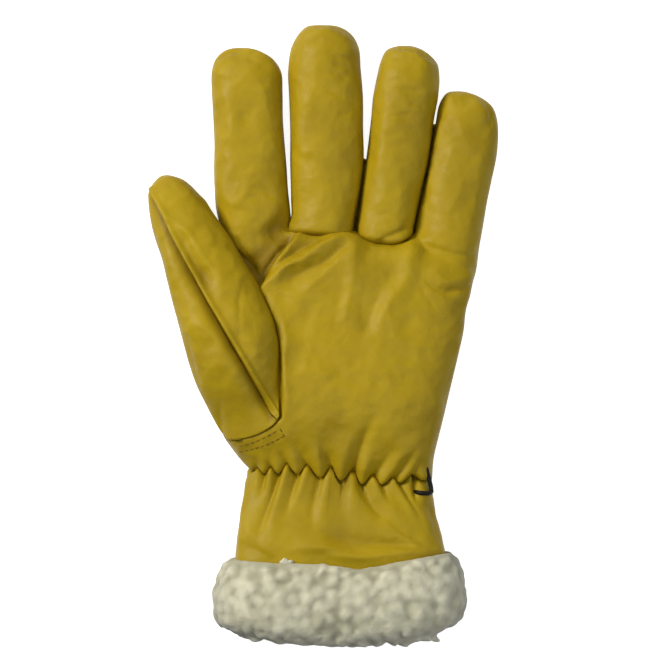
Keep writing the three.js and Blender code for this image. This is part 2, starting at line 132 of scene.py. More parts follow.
LITTLE = [
    Section(110, 60, 60, 11, 11),
    Section(109.2, 55.8, 66, 5, 16.5),
    Section(107.2, 54, 71, 2.6, 19.2),
    Section(102.2, 51.8, 76.9, 0.4, 21.8),
    Section(96.8, 50.9, 78.6, -0.8, 23.2),
    Section(89, 49.7, 79, -1.2, 24),
    Section(80.6, 48.2, 78.3, -1.2, 24.2),
    Section(70, 46.2, 76.1, -1.2, 24.6),
    Section(59, 43.8, 73.8, -1.2, 25.4),
    Section(48.2, 41.6, 72, -1.2, 26.6),
    Section(38.2, 39.6, 70.2, -1.2, 27.6),
    Section(29, 37.6, 69, -1.2, 28),
    Section(18, 34, 65.6, -1, 27),
]
# The sides of the fingers meet deep between them, so nothing of the floor shows there
WEBS = [
    [
        Section(81, 17.6, 19.4, 2, 8), Section(74, 16.6, 19.6, 2, 11), Section(64, 15.2, 18.8, 2, 13),
        Section(54, 13.4, 17.4, 2, 14), Section(44, 12.4, 16.6, 2, 14), Section(36, 12, 17, 2, 14),
    ],
    [
        Section(95, 49.4, 51.2, 2, 8), Section(88, 47.6, 50.8, 2, 11), Section(76, 45, 49.2, 2, 13),
        Section(62, 42.4, 46.6, 2, 14), Section(48, 39.8, 44, 2, 14), Section(38, 38, 42, 2, 14),
    ],
]
HAND = [
    Section(47.4, 8, 8, 13, 13),
    Section(46.8, -36, 60, 3, 20.5),
    Section(45, -42, 65.8, 0, 25.5),
    Section(42, -43.4, 67.6, -1, 29),
    Section(37, -42.8, 67.8, -1.2, 31.5),
    Section(31, -41.6, 67.6, -1.2, 33),
    Section(25, -41, 67, -1.2, 34),
    Section(18, -40.8, 66, -1.2, 35),
    Section(11, -41, 64.2, -1.2, 36),
    Section(2, -41.8, 63.2, -1.2, 37),
    Section(-8, -43.4, 61, -1.2, 38.4),
    Section(-18, -45, 58.6, -1.2, 40),
    Section(-27, -46, 56.4, -1.2, 41.2),
    Section(-35, -46.4, 54.4, -1, 41.6),
    Section(-42, -45.8, 52.4, 0, 41),
    Section(-47.5, -44.6, 50.8, 1, 40),
    Section(-52.5, -41.6, 49.6, 2.2, 38.6),
    Section(-57, -38.4, 49.2, 3.4, 37),
    Section(-60.4, -35.6, 49.1, 4.4, 35.6),
    Section(-63, -33.6, 49.1, 5, 34.4),
    Section(-70, -33.4, 49.2, 5, 34.4),
]
THUMB = [
    Section(71.9, -70.2, -70.2, 20, 20),
    Section(71.3, -72.8, -66.8, 15, 25),
    Section(69.6, -74.9, -62.4, 12.4, 28),
    Section(66.8, -77, -58.9, 10.8, 30.2),
    Section(63.6, -78.4, -55.8, 9.8, 31.6),
    Section(60.6, -78.4, -52.9, 9.4, 32.8),
    Section(56, -78, -50, 9.2, 34.4),
    Section(50, -77, -45.9, 9.6, 36.4),
    Section(42.8, -75.1, -41, 10.4, 38.6),
    Section(33.8, -72, -35.8, 11.6, 41),
    Section(24.8, -69.8, -30.2, 13, 43),
    Section(16, -67.6, -25.8, 14, 45),
    Section(6.5, -65, -21.7, 14.6, 46.6),
    Section(-4, -62.2, -19.4, 14.8, 47.4),
    Section(-14, -59.4, -18.9, 15, 47),
    Section(-23, -56.2, -19, 15.4, 45.6),
    Section(-31, -52.2, -19.2, 16, 42.8),
    Section(-37, -49, -19.2, 16.6, 40.6),
    Section(-42, -46, -19.4, 17.2, 38.6),
    Section(-45.5, -43.4, -19.8, 18, 37),
    Section(-47.6, -41.8, -21, 20, 34.8),
]
CUFF = [
    Section(-58.2, -32.6, 48.4, 6.6, 32),
    Section(-61.5, -33.4, 49, 5.4, 34),
    Section(-63.4, -33.4, 49.1, 5, 35),
    Section(-66, -33.4, 49.2, 5.2, 35.8),
    Section(-69.5, -34.4, 49.4, 5.4, 36.8),
    Section(-74, -35.6, 49.7, 5.6, 38),
    Section(-79, -36.7, 50.2, 5.8, 39.4),
    Section(-85, -37.6, 51.8, 6.2, 41),
    Section(-92, -38.5, 53.7, 6.8, 43),
    Section(-99, -39.2, 55, 7.4, 44),
    Section(-108, -38.8, 54.4, 8, 43.4),
]
# The pile, from the outer edge that lies on the cuff, over the roll and up the inside of the wrist
PILE = [
    Section(-101.4, -38.6, 54.2, 6, 43.6),
    Section(-99.9, -40.4, 56.2, 3, 46.4),
    Section(-101.4, -42.6, 58.2, 1.2, 48.6),
    Section(-105.5, -45, 60.2, -0.4, 50.8),
    Section(-110.5, -47, 61.8, -1, 52.2),
    Section(-116, -47.8, 62.6, -1, 53),
    Section(-122, -48, 62.8, -1, 53.2),
    Section(-127.5, -47.8, 61.2, -0.6, 52.2),
    Section(-131.4, -44.2, 54.8, 0.8, 49.8),
    Section(-133.4, -38.6, 48.6, 3.6, 46.8),
    Section(-134.6, -36, 48.8, 6.6, 43.6),
    Section(-133.8, -34.2, 47.8, 9.4, 41.2),
    Section(-132, -33.4, 47.6, 11.2, 39.8),
    Section(-126, -31.8, 46.6, 12.8, 38.6),
    Section(-118, -31, 46, 13.6, 38),
    Section(-105, -30.2, 45.6, 13.4, 36.8),
    Section(-92, -29.6, 45.2, 13, 35.6),
    Section(-74, -27.6, 42.6, 11.6, 30.8),
    Section(-70, -27, 42.2, 11.4, 30.2),
]

HAND_SQUARENESS = 3.5
FINGER_SQUARENESS = 2.3
THUMB_SQUARENESS = 2.2
SEAM_HEIGHT = 7.0
WRIST_Y = -62.5
WRIST_SLOPE = -0.08

# The palm is the largest panel and the back is the plainest, so their meshes are coarser than the others'
PALM_COARSENESS = 1.15
BACK_COARSENESS = 1.35
# Voxels that fuse the locks of wool to the roll, and the curls of the tuft
PILE_VOXEL = 0.8
TUFT_VOXEL = 0.35

# The hand's far end, and the edge there that the middle and ring finger fronts are sewn to
HAND_END_Y = 45
PALM_EDGE = [
    (-48, 47.6), (-30, 47.2), (-15, 46.4), (0, 45.4), (12, 44.5), (15, 43.6), (18.5, 41.6),
    (23, 40.4), (29, 40), (36, 40.2), (39.5, 41.4), (42, 41.6), (47, 39.4), (56, 37.8), (72, 36.5),
]

# The pile's edge on the leather cuff, and the small tuft that stands there
PILE_EDGE_Y = -101.2
PILE_EDGE = [
    (-60, -100.6), (-38.7, -101.2), (-17.5, -102.4), (3, -103),
    (14, -104.8), (33, -101.8), (54, -98.4), (75, -97),
]
TUFT_PLACE = (-16.2, -100.9)

# The shirring line at the wrist: how it zigzags between the gathers above it and below it
WRIST_LINE = [
    (-36, -60.6), (-34.2, -60.8), (-32.4, -61.6), (-29.2, -59.4), (-26.1, -62.6), (-23.4, -59),
    (-19.8, -62.1), (-16, -57.8), (-11.2, -62.2), (-7.2, -58.6), (-0.9, -63.5), (3.6, -59.4),
    (8.1, -64.8), (13.5, -60.8), (17.1, -66.6), (22.1, -63.3), (26.1, -66.6), (31.1, -64),
    (34.2, -66), (39.6, -62.6), (44.5, -65), (49.1, -64.2), (52, -65),
]
# Ruffles round the back of the wrist
RUFFLE_HEIGHT = 1.3
RUFFLE_PITCH = 8.6

# Folds in the leather: the line of each one, how fast it falls away and its height, negative for a valley.
# A fold runs out at both ends, so one that meets a seam starts beyond it.
Fold = namedtuple("Fold", "height width path")

PALM_FOLDS = [
    Fold(-5.0, 1.7, [(-9, 54), (-15.8, 44.6), (-21.6, 36), (-29.3, 25.7), (-37, 15)]),
    Fold(-5.2, 5.8, [(-46, 31), (-34, 31.5), (-26, 39), (-20, 49), (-17, 60)]),
    Fold(-4.4, 3.0, [(-46, 41), (-37, 31.5), (-32, 26.5), (-26, 20)]),
    Fold(2.8, 1.7, [(-5.6, 52.4), (-13, 42.8), (-18.8, 34.2), (-26.5, 23.8), (-33, 14)]),
    Fold(-3.4, 2.2, [(4, 49), (-5.4, 42), (-14.6, 35.2), (-22, 29), (-32, 21.4)]),
    Fold(2.9, 2.3, [(22, 46), (8, 43), (-3.4, 38.4), (-15, 30.6), (-27, 23), (-36, 18)]),
    Fold(-3.0, 2.6, [(20, 44), (9, 38), (-2, 32.4), (-13, 25.6), (-26, 20)]),
    Fold(1.4, 2.6, [(19, 47), (12, 38.6), (4, 30.4), (-6, 22.4), (-18, 16)]),
    Fold(0.9, 2.2, [(15, 50), (14.6, 34), (12.8, 20), (7, 0)]),
    Fold(-1.1, 3.2, [(10.6, 33), (7.6, 16), (2.4, -6)]),
    Fold(-0.8, 2.4, [(19, 25), (16.4, 9), (15.4, -6)]),
    Fold(-1.7, 3.4, [(37, 40), (27, 21.6), (19, 7), (13, -7)]),
    Fold(1.5, 3.2, [(44.4, 50), (39, 35), (33.6, 21), (24, 5), (17, -8)]),
    Fold(-0.8, 3.0, [(47, 43), (42.4, 28), (37, 10)]),
    Fold(-1.2, 1.2, [(41, 27.4), (49.1, 21.8), (56, 20), (65, 22.4), (71, 25.4)]),
    Fold(0.8, 1.8, [(42, 31), (55, 24.6), (66, 27), (71, 29)]),
    Fold(-0.6, 0.9, [(40, 24), (45, 18.6), (51.5, 11)]),
    Fold(-0.6, 1.0, [(-25, 20.4), (-20, 17.6), (-12.6, 14.4)]),
    Fold(-0.7, 1.0, [(39, 41.4), (47, 38.4), (56, 36.4), (67, 36), (73, 36.6)]),
    Fold(0.4, 1.6, [(40, 44.4), (54, 40), (70, 39)]),
    Fold(-0.8, 3.4, [(5, -6), (7.4, -17), (8.4, -29)]),
    Fold(0.7, 3.4, [(-4, -8), (1, -20), (8, -32)]),
    Fold(0.6, 5.0, [(22, 2), (27, -13), (31, -27)]),
    Fold(-0.6, 4.0, [(-5, 17), (-8, 4), (-10, -12)]),
    Fold(1.3, 1.8, [(-19, 16), (-16.4, -8), (-16.2, -22), (-17, -42)]),
    Fold(0.7, 3.0, [(-15.8, 40), (-20, 30), (-22, 20), (-20, 8)]),
    Fold(-0.9, 0.8, [(59, 14.4), (63, 12.8), (67, 11.4)]),
    Fold(-0.5, 0.9, [(-33, 72), (-27, 69), (-21, 63)]),
    Fold(-0.45, 0.9, [(-37, 62.4), (-28, 60), (-18.6, 53.6)]),
    Fold(-0.45, 0.9, [(-33, 66.8), (-25, 63.6), (-18, 58)]),
    Fold(-0.4, 0.8, [(-42, 57), (-33, 55.6), (-23, 50)]),
    Fold(-0.8, 2.2, [(-43, 123.6), (-34.6, 124.6), (-28.6, 121.6), (-24, 117)]),
    Fold(-0.8, 0.7, [(-50, 121), (-47.2, 124.4), (-42, 126.8), (-35, 127.2)]),
    Fold(0.7, 1.0, [(-40, 127), (-32, 127.4), (-25, 124), (-19, 118.8)]),
    Fold(-0.9, 0.7, [(69, 108), (73.6, 102.6), (76.2, 96.6), (77, 90)]),
    Fold(-0.9, 1.9, [(55, 105), (62, 105.2), (69, 102)]),
    Fold(-0.7, 5.5, [(-31, 112), (-33, 92), (-34, 66)]),
    Fold(0.6, 3.0, [(-44, 118), (-44.4, 96), (-43.4, 70)]),
    Fold(0.5, 4.0, [(57, 100), (55, 80), (51, 56)]),
    Fold(-0.6, 5.0, [(67, 96), (65, 76), (60, 50)]),
]
MIDDLE_FOLDS = [
    Fold(-0.6, 0.9, [(3, 124.4), (9, 125), (15.6, 121.4)]),
    Fold(-0.5, 0.8, [(2.6, 118), (8, 116.8), (13, 114.4)]),
    Fold(-0.5, 0.8, [(4, 121.4), (9, 120.6), (14, 118.6)]),
    Fold(-0.4, 0.8, [(0.6, 107.4), (5, 107.4), (10, 106.4)]),
    Fold(-0.8, 2.2, [(-9, 131), (-3, 133.8), (5, 134), (11, 130.6)]),
    Fold(-0.8, 0.7, [(-1.6, 138.2), (5, 137.8), (11, 134.6), (15.4, 129)]),
    Fold(0.8, 1.0, [(-13, 132.6), (-7, 136.6), (2, 137), (9, 134.8)]),
    Fold(-0.8, 5.0, [(4, 116), (4.6, 92), (3, 60)]),
    Fold(0.7, 3.0, [(-8.6, 128), (-8.4, 96), (-8, 58)]),
    Fold(-0.6, 1.4, [(-17, 51.4), (-11, 50.2), (-3, 50.4)]),
    Fold(-0.4, 0.8, [(6, 100), (10, 98.6), (14, 99)]),
]
RING_FOLDS = [
    Fold(-0.5, 0.7, [(29.4, 112.8), (33, 114), (38, 114)]),
    Fold(-0.5, 0.7, [(32.4, 110.4), (38, 110), (45, 109.2)]),
    Fold(-0.5, 0.8, [(28, 97.6), (34, 99), (41, 97)]),
    Fold(-0.4, 0.7, [(38, 103.6), (42.6, 102.6), (48, 100.6)]),
    Fold(-0.8, 2.0, [(29, 123.6), (35, 126), (41.6, 125.6), (47, 122)]),
    Fold(-0.8, 0.7, [(27, 126.4), (33, 128.6), (40, 128.8), (47, 124.6), (51.6, 119)]),
    Fold(0.8, 1.0, [(28, 124.6), (34, 127.6), (41, 127.2), (48, 122.4)]),
    Fold(-1.2, 1.0, [(23, 42.4), (29.6, 44.6), (35, 47.6), (41, 52)]),
    Fold(1.0, 1.3, [(26, 40.6), (33, 43), (39, 46.4), (42, 49)]),
    Fold(-0.6, 4.6, [(40, 112), (38.6, 92), (34, 60)]),
    Fold(0.7, 3.0, [(29, 120), (27.4, 94), (23, 58)]),
    Fold(-0.4, 0.9, [(22, 54), (28, 55.4), (35, 53.6)]),
]

# Gathers at the wrist: each is highest at its first point and runs out at its last
HAND_GATHERS = [
    Fold(1.2, 1.9, [(-26.1, -62.4), (-28.6, -57)]),
    Fold(1.5, 2.2, [(-19.6, -62), (-21.6, -58), (-24, -52.5)]),
    Fold(1.7, 2.6, [(-11.2, -62), (-13.6, -56.6), (-17.6, -48)]),
    Fold(2.0, 3.2, [(-0.9, -63.4), (-2.2, -55.4), (-8.4, -43)]),
    Fold(2.0, 3.2, [(8.1, -64.6), (8.1, -52), (6.4, -40)]),
    Fold(2.0, 3.0, [(17.1, -66.4), (19.4, -56), (23, -41)]),
    Fold(1.9, 2.8, [(26.1, -66.4), (34, -55.4), (44.6, -41.4)]),
    Fold(1.6, 2.4, [(34.2, -65.8), (40.4, -57.4), (47.4, -47.4)]),
    Fold(1.2, 2.0, [(44.2, -64.6), (46, -58)]),
]
HAND_TUCKS = [
    Fold(-1.0, 1.3, [(-23.2, -59), (-26, -55.6)]),
    Fold(-1.4, 1.4, [(-16, -57.8), (-20.4, -50)]),
    Fold(-1.6, 1.5, [(-7.2, -58.6), (-9.4, -54.6), (-12.4, -45)]),
    Fold(-1.8, 1.7, [(3.6, -59.4), (1, -54), (-4.8, -43.4)]),
    Fold(-2.2, 2.1, [(13.5, -60.8), (18.4, -46), (26.4, -28)]),
    Fold(-1.7, 1.7, [(22.1, -63.2), (27, -57), (34.4, -48)]),
    Fold(-1.6, 1.5, [(31.1, -64), (36.4, -58), (42.8, -48)]),
    Fold(-1.3, 1.3, [(39.6, -62.6), (45.6, -51)]),
]
CUFF_GATHERS = [
    Fold(1.2, 1.9, [(-29.2, -59.6), (-29.8, -68), (-31, -76)]),
    Fold(1.6, 2.1, [(-23.3, -59.4), (-24.4, -67), (-26.6, -80)]),
    Fold(1.9, 2.4, [(-16, -58), (-18.6, -67), (-23, -81), (-28.6, -98)]),
    Fold(2.0, 2.4, [(-7.2, -58.6), (-9.8, -66.6), (-16.2, -83)]),
    Fold(2.1, 2.9, [(3.6, -59.6), (1, -69), (-2.8, -91)]),
    Fold(2.1, 2.7, [(13.3, -61), (12.4, -70), (15.6, -84)]),
    Fold(2.2, 2.7, [(22.1, -63.4), (28, -73.4), (38.4, -87)]),
    Fold(2.1, 2.6, [(31.4, -64), (38.4, -74.4), (45.4, -84), (51.6, -98)]),
    Fold(1.4, 2.0, [(39.6, -62.6), (43.6, -68), (49, -78)]),
]
CUFF_TUCKS = [
    Fold(-1.6, 1.3, [(-26.1, -62.6), (-28.8, -76)]),
    Fold(-2.4, 1.7, [(-19.8, -62.1), (-22.3, -70.2), (-26.8, -82.7), (-31.4, -99)]),
    Fold(-2.4, 1.6, [(-11.4, -62.6), (-13, -68), (-18, -85)]),
    Fold(-2.7, 1.8, [(-1.2, -63.7), (-4, -75.5), (-5, -95)]),
    Fold(-3.9, 1.9, [(8.1, -64.8), (8.4, -75.5), (11.4, -100)]),
    Fold(-2.8, 1.7, [(17.2, -66.4), (20.6, -74), (29, -87)]),
    Fold(-2.4, 1.5, [(26, -66.6), (31, -78)]),
    Fold(-2.8, 1.7, [(34, -65.8), (39.6, -75), (48, -90)]),
    Fold(-4.4, 0.9, [(40.8, -61), (41, -66), (42, -76)]),
]
CUFF_FOLDS = [
    Fold(1.6, 2.4, [(12, -64), (24, -80), (36, -89), (55, -101)]),
    Fold(-1.6, 2.6, [(16, -68), (28, -82.4), (42, -90.6), (56, -98)]),
    Fold(-2.8, 3.0, [(-6, -84), (6, -89), (20, -92.4), (36, -93.4), (50, -92)]),
    Fold(2.4, 1.7, [(-20, -95), (-2, -94.8), (11, -97.6), (28.5, -97.2), (58, -95.4)]),
    Fold(1.0, 2.6, [(-38, -84), (-31, -91), (-20, -99)]),
    Fold(-0.9, 2.4, [(-36, -92), (-28, -96.4), (-18, -101)]),
    Fold(0.8, 2.4, [(-34, -66), (-35.4, -80), (-36, -97)]),
    Fold(-0.9, 2.0, [(46, -70), (48, -82), (51, -96)]),
]

# The seam down the thumb, from past its tip to past its base, with the folds beside it
THUMB_SEAM = [
    (-84, 75.6), (-77.3, 63.2), (-74.1, 57.6), (-66.7, 41.6), (-59.4, 28), (-53, 16.8),
    (-45.6, 4.4), (-38.7, -7.2), (-27.6, -25.6), (-19.4, -39), (-12, -50),
]
THUMB_FOLDS = [
    Fold(1.5, 2.0, [(-75, 66), (-71.6, 56.6), (-60.6, 44), (-51, 31), (-43, 17)]),
    Fold(-1.5, 2.0, [(-68, 56), (-64, 45.4), (-57.6, 34), (-51, 21), (-46, 12)]),
    Fold(-0.8, 3.4, [(-62, 42), (-52, 24), (-41, 6), (-31, -12), (-24, -26)]),
    Fold(0.9, 3.4, [(-52, 30), (-43, 14), (-33, -2), (-26, -18)]),
    Fold(-0.6, 0.7, [(-36, 24), (-36.8, 12), (-37, -4)]),
    Fold(0.6, 3.0, [(-34, 26), (-27, 10), (-23.4, -8), (-22.6, -30)]),
    Fold(0.9, 4.0, [(-73, 42), (-64, 12), (-54, -14)]),
    Fold(-0.7, 3.0, [(-71, 26), (-60, -6), (-50, -28)]),
    Fold(-0.7, 1.6, [(-76, 62), (-71.4, 66.4), (-64, 66)]),
    Fold(0.5, 0.9, [(-81, 60), (-76, 66.4), (-70.6, 70), (-62, 70)]),
]
# Where the palm sinks in under the thumb, and how deep
POCKET_DEPTH = 4
THUMB_POCKET = [(-30, 24), (-25.2, 15), (-20.6, 4), (-18.3, -8), (-17.7, -20), (-17.8, -31), (-18.6, -44)]
# The seam across the thumb's base, where it is sewn flush to the heel of the hand
THUMB_BASE = [
    (-52, -48.3), (-42.5, -48.1), (-35, -47.2), (-30, -45.8), (-25.3, -43.5), (-19.4, -39.3), (-14, -34),
]

# The wire hook: its line over the leather and how far it stands off. Its far end lies deep in a fold.
WIRE_RADIUS = 1.0
HOOK_ROUTE = [
    (45.4, -55.4, -4), (45.5, -57.6, -1.5), (45.7, -59.6, 0.8), (46.1, -62.4, 1.4), (46.7, -65.6, 1.5),
    (47.3, -69, 1.4), (47.3, -70.2, 1.4), (46.6, -70.6, 1.3), (45.2, -70.6, 1.1), (44, -70.5, 0.7),
    (43, -70.3, -0.6), (42.4, -70, -2.8), (42, -69.6, -6),
]
# Rows of stitches across the base of the thumb, with the short return at their end
STITCH_ROWS = [
    [(-40.6, -49.9), (-33.1, -48.6), (-26.7, -46), (-20.4, -42.6)],
    [(-37.8, -52.2), (-31.9, -50.9), (-28, -49.8), (-21.2, -47), (-16.9, -44.6)],
    [(-19.2, -41.2), (-18, -43.6), (-16.7, -45.8)],
]

# Studio lights, in metres and watts
Light = namedtuple("Light", "name place size power tint")
LIGHTS = [
    Light("key_softbox", (-0.72, 0.4, 0.62), 0.34, 8.4, "#fffaf0"),
    Light("fill_softbox", (0.8, -0.1, 0.62), 0.8, 1.8, "#ffffff"),
    Light("top_softbox", (0.15, -0.1, 1.0), 0.6, 2.2, "#ffffff"),
    Light("end_softbox", (-0.1, 0.75, 0.35), 0.4, 1.1, "#fff8ec"),
]
LIGHTS_AIM = (0, 0, 0.02)

# The camera looks straight down with a long lens. The picture's width is taken at this height over the floor.
CAMERA_DISTANCE = 2.0
PICTURE_WIDTH = 0.3006
PICTURE_HEIGHT = 0.015
PICTURE_MIDDLE = (0.00495, 0.00045)


def linear(code):
    """The linear colour of an sRGB hex code."""
    parts = [int(code[i : i + 2], 16) / 255 for i in (1, 3, 5)]
    return tuple(c / 12.92 if c <= 0.04045 else ((c + 0.055) / 1.055) ** 2.4 for c in parts)


def length(name, description, default):
    """A size in metres that a user may change."""
    return bpy.props.FloatProperty(name=name, description=description, default=default, unit="LENGTH")


def colour(name, description, code):
    """A colour that a user may change, with its sRGB hex code."""
    return bpy.props.FloatVectorProperty(
        name=name, description=description, default=linear(code), subtype="COLOR"
    )


class GloveSizes(bpy.types.PropertyGroup):
    """Sizes that change how the glove is sewn."""

    leather: length("Leather", "Thickness of the leather that shows at its edges", 0.0014)
    mesh_step: length("Mesh step", "Distance between two vertices of the leather", 0.00075)
    grain: length("Grain", "Width of one pebble of the leather's grain", 0.0011)
    stitch: length("Stitch", "Length of one stitch with its gap", 0.0026)
    thread: length("Thread", "Thickness of the sewing thread", 0.0006)
    lock: length("Lock", "Length of one curled lock of the pile", 0.0125)
    locks: bpy.props.IntProperty(name="Locks", description="How many locks the pile roll has", default=600)


class GloveColours(bpy.types.PropertyGroup):
    """Colours of the glove's materials."""

    leather: colour("Leather", "Golden grain leather", "#b0960e")
    leather_shade: colour("Leather shade", "Browner patches of the same hide", "#99800c")
    # Painted shade: the dark brown that the leather takes deep in folds, at turned seams and under the thumb.
    # The thread's darker plies use it too.
    leather_painted_shade: colour("Crease", "Leather deep in a fold", "#5f4300")
    pile: colour("Pile", "Tips of the pile", "#e0dfc8")
    # Painted shade of the pile, low down between its locks
    pile_painted_shade: colour("Pile root", "Pile between its locks", "#a2a186")
    wire: colour("Wire", "Coating of the hook", "#0c0c0b")
    thread: colour("Thread", "Sewing thread", "#94791c")
    floor: colour("Floor", "Pale studio floor", "#f6f6f4")


# Lines, sections and folds


def smoothstep(start, end, value):
    """Nothing before start, one past end, and a soft change between them."""
    share = np.clip((value - start) / (end - start), 0, 1)
    return share * share * (3 - 2 * share)


def smooth_curve(points, step):
    """Points about step apart on a smooth line through the given ones."""
    knots = np.array(points, float)
    along = np.concatenate([[0], np.cumsum(np.linalg.norm(np.diff(knots, axis=0), axis=1))])
    slope = np.gradient(knots, along, axis=0)
    place = np.linspace(0, along[-1], max(3, round(along[-1] / step) + 1))
    i = np.clip(np.searchsorted(along, place, side="right") - 1, 0, len(along) - 2)
    span = (along[i + 1] - along[i])[:, None]
    u = (place - along[i])[:, None] / span
    return (
        (2 * u**3 - 3 * u**2 + 1) * knots[i]
        + (u**3 - 2 * u**2 + u) * span * slope[i]
        + (3 * u**2 - 2 * u**3) * knots[i + 1]
        + (u**3 - u**2) * span * slope[i + 1]
    )


def line_distance(x, y, path):
    """Distance of each point from a line seen from above, and its share of the way along."""
    pieces = smooth_curve(path, 4) if len(path) > 2 else np.array(path, float)
    steps = np.diff(pieces, axis=0)
    lengths = np.linalg.norm(steps, axis=1)
    nearest = np.full(len(x), np.inf)
    share = np.zeros(len(x))
    done = 0.0
    for (ax, ay), (dx, dy), reach in zip(pieces[:-1], steps, lengths):
        t = np.clip(((x - ax) * dx + (y - ay) * dy) / reach**2, 0, 1)
        distance = np.hypot(x - ax - t * dx, y - ay - t * dy)
        better = distance < nearest
        nearest = np.where(better, distance, nearest)
        share = np.where(better, (done + t * reach) / lengths.sum(), share)
        done += reach
    return nearest, share


def swell(place, size, seed):
    """A smooth chance field with hills about size apart. It stays between about -1 and 1."""
    chance = np.random.default_rng(seed)
    waves = 14
    total = np.zeros(len(place))
    for _ in range(waves):
        way = chance.normal(size=3)
        way /= np.linalg.norm(way)
        pitch = size * chance.uniform(0.75, 1.7)
        total += np.sin(place @ way * (2 * np.pi / pitch) + chance.uniform(0, 2 * np.pi))
    return total / math.sqrt(2 * waves)


def rumple(place):
    """Height of the soft dents of stuffed leather, with a few pinched lines between them."""
    dents = 0.5 * swell(place, 26, 1) + 0.22 * swell(place, 12, 2) + 0.07 * swell(place, 5, 3)
    pinches = 0.75 * (0.5 - np.abs(swell(place, 19, 4))) + 0.24 * (0.5 - np.abs(swell(place, 9, 5)))
    return dents + pinches


def pinch(distance, width):
    """A fold across its line: narrow at its crest, with long skirts."""
    blunt = 0.5 * width
    return np.exp(-(np.hypot(distance, blunt) - blunt) / width)


def fold_height(folds, place):
    """Height of the folds. Chance bends their lines a little."""
    x = place[:, 0] + 1.1 * swell(place, 15, 6) + 0.3 * swell(place, 5, 7)
    y = place[:, 1] + 1.1 * swell(place, 15, 8) + 0.3 * swell(place, 5, 9)
    height = np.zeros(len(x))
    for fold in folds:
        distance, share = line_distance(x, y, fold.path)
        whole = smoothstep(0, 0.3, share) * smoothstep(1, 0.65, share)
        height += fold.height * whole * pinch(distance, fold.width)
    return height


def gather_height(folds, x, y):
    """Folds that start full at the shirring line and run out at their far ends."""
    height = np.zeros(len(x))
    for fold in folds:
        distance, share = line_distance(x, y, fold.path)
        width = fold.width * (0.75 + 0.9 * share)
        across = np.exp(-((distance / width) ** 2)) if fold.height > 0 else pinch(distance, 0.8 * width)
        height += fold.height * (1 - smoothstep(0.2, 1, share)) * across
    return height


def edge_line(points, x):
    """Where a line that runs across the glove lies at each x."""
    line = smooth_curve(points, 0.5)
    return np.interp(x, np.maximum.accumulate(line[:, 0]), line[:, 1])


def zigzag(x):
    """How far the shirring line stands off its straight course, with its corners a little rounded."""
    blur = 0.8
    line = (edge_line(WRIST_LINE, x - blur) + edge_line(WRIST_LINE, x) + edge_line(WRIST_LINE, x + blur)) / 3
    return line - WRIST_Y - WRIST_SLOPE * x


def hand_bend(x, y):
    """The far end of the hand follows the finger seams, and its near end the slope of the shirring line."""
    near_wrist = 1 - smoothstep(0, 36, np.abs(y - WRIST_Y))
    return (edge_line(PALM_EDGE, x) - HAND_END_Y) * smoothstep(12, 42, y) + WRIST_SLOPE * x * near_wrist


def middle_bend(x, y):
    """The middle finger's base seam slopes a little."""
    return (-0.067 * x - 0.4) * (1 - smoothstep(46, 60, y))


def ring_bend(x, y):
    """The ring finger's base seam turns up at both its ends."""
    middle = 28
    half_width = 12
    return 3.0 * (np.abs(x - middle) / half_width) ** 3 * (1 - smoothstep(42, 52, y))


def thumb_bend(x, y):
    """The thumb's near end follows the seam at its base."""
    return (edge_line(THUMB_BASE, x) - THUMB[-1].y) * (1 - smoothstep(THUMB[-1].y, -24, y))


def pile_bend(x, y):
    """The roll reaches furthest at its middle, and its edge follows the leather cuff."""
    reach = (0.0018 * (x - 8) ** 2 - 2.4) * (1 - smoothstep(-134, -108, y))
    return reach + (edge_line(PILE_EDGE, x) - PILE_EDGE_Y) * smoothstep(-116, -104, y)


def straight(x, y):
    """No bend."""
    return np.zeros(len(x))


def hand_surface(x, y):
    """Height of the smooth palm side of the hand and wrist over each point."""
    rows = np.array(sorted([*HAND[:-1], *CUFF[4:]], key=lambda row: row.y))
    left, right, low, high = (np.interp(y, rows[:, 0], rows[:, i]) for i in (1, 2, 3, 4))
    across = np.minimum(np.abs((2 * x - left - right) / (right - left)), 0.985)
    depth = (1 - across**HAND_SQUARENESS) ** (1 / HAND_SQUARENESS)
    return (low + high + depth * (high - low)) / 2


# Meshes


def add_tube(bm, sections, around, step, squareness, bend=straight, open_ends=False, turn=None):
    """Adds a ball whose rings are drawn out into the sections. Returns its vertices, rings and columns."""
    rows = smooth_curve(sections, step)
    rings = rows if open_ends else rows[1:]
    count = len(rings) + 1
    made = bmesh.ops.create_uvsphere(bm, u_segments=around, v_segments=count, radius=1)["verts"]
    ball = np.array([v.co for v in made])
    ring = np.rint(np.arccos(np.clip(ball[:, 2], -1, 1)) / np.pi * count).astype(int)
    angle = np.arctan2(ball[:, 1], ball[:, 0])
    column = np.rint(angle / (2 * np.pi) * around).astype(int) % around
    row = rings[np.clip(ring - 1, 0, len(rings) - 1)]
    if not open_ends:
        row[ring == 0] = rows[0]
    if turn is not None:
        angle = turn(row, column)
    pole = (ring == 0) | (ring == count)
    cosine = np.where(pole, 0, np.cos(angle))
    sine = np.where(pole, 0, np.sin(angle))
    y, left, right, low, high = row.T
    power = 2 / squareness
    x = (left + right) / 2 + (right - left) / 2 * np.sign(cosine) * np.abs(cosine) ** power
    z = (low + high) / 2 + (high - low) / 2 * np.sign(sine) * np.abs(sine) ** power
    place = np.column_stack([x, y + bend(x, y), z])
    for vert, co in zip(made, place):
        vert.co = co
    bm.normal_update()
    bmesh.ops.recalc_face_normals(bm, faces=bm.faces[:])
    if open_ends:
        bmesh.ops.delete(bm, geom=[v for v, end in zip(made, pole) if end], context="VERTS")
    return np.array(made, dtype=object), ring, column


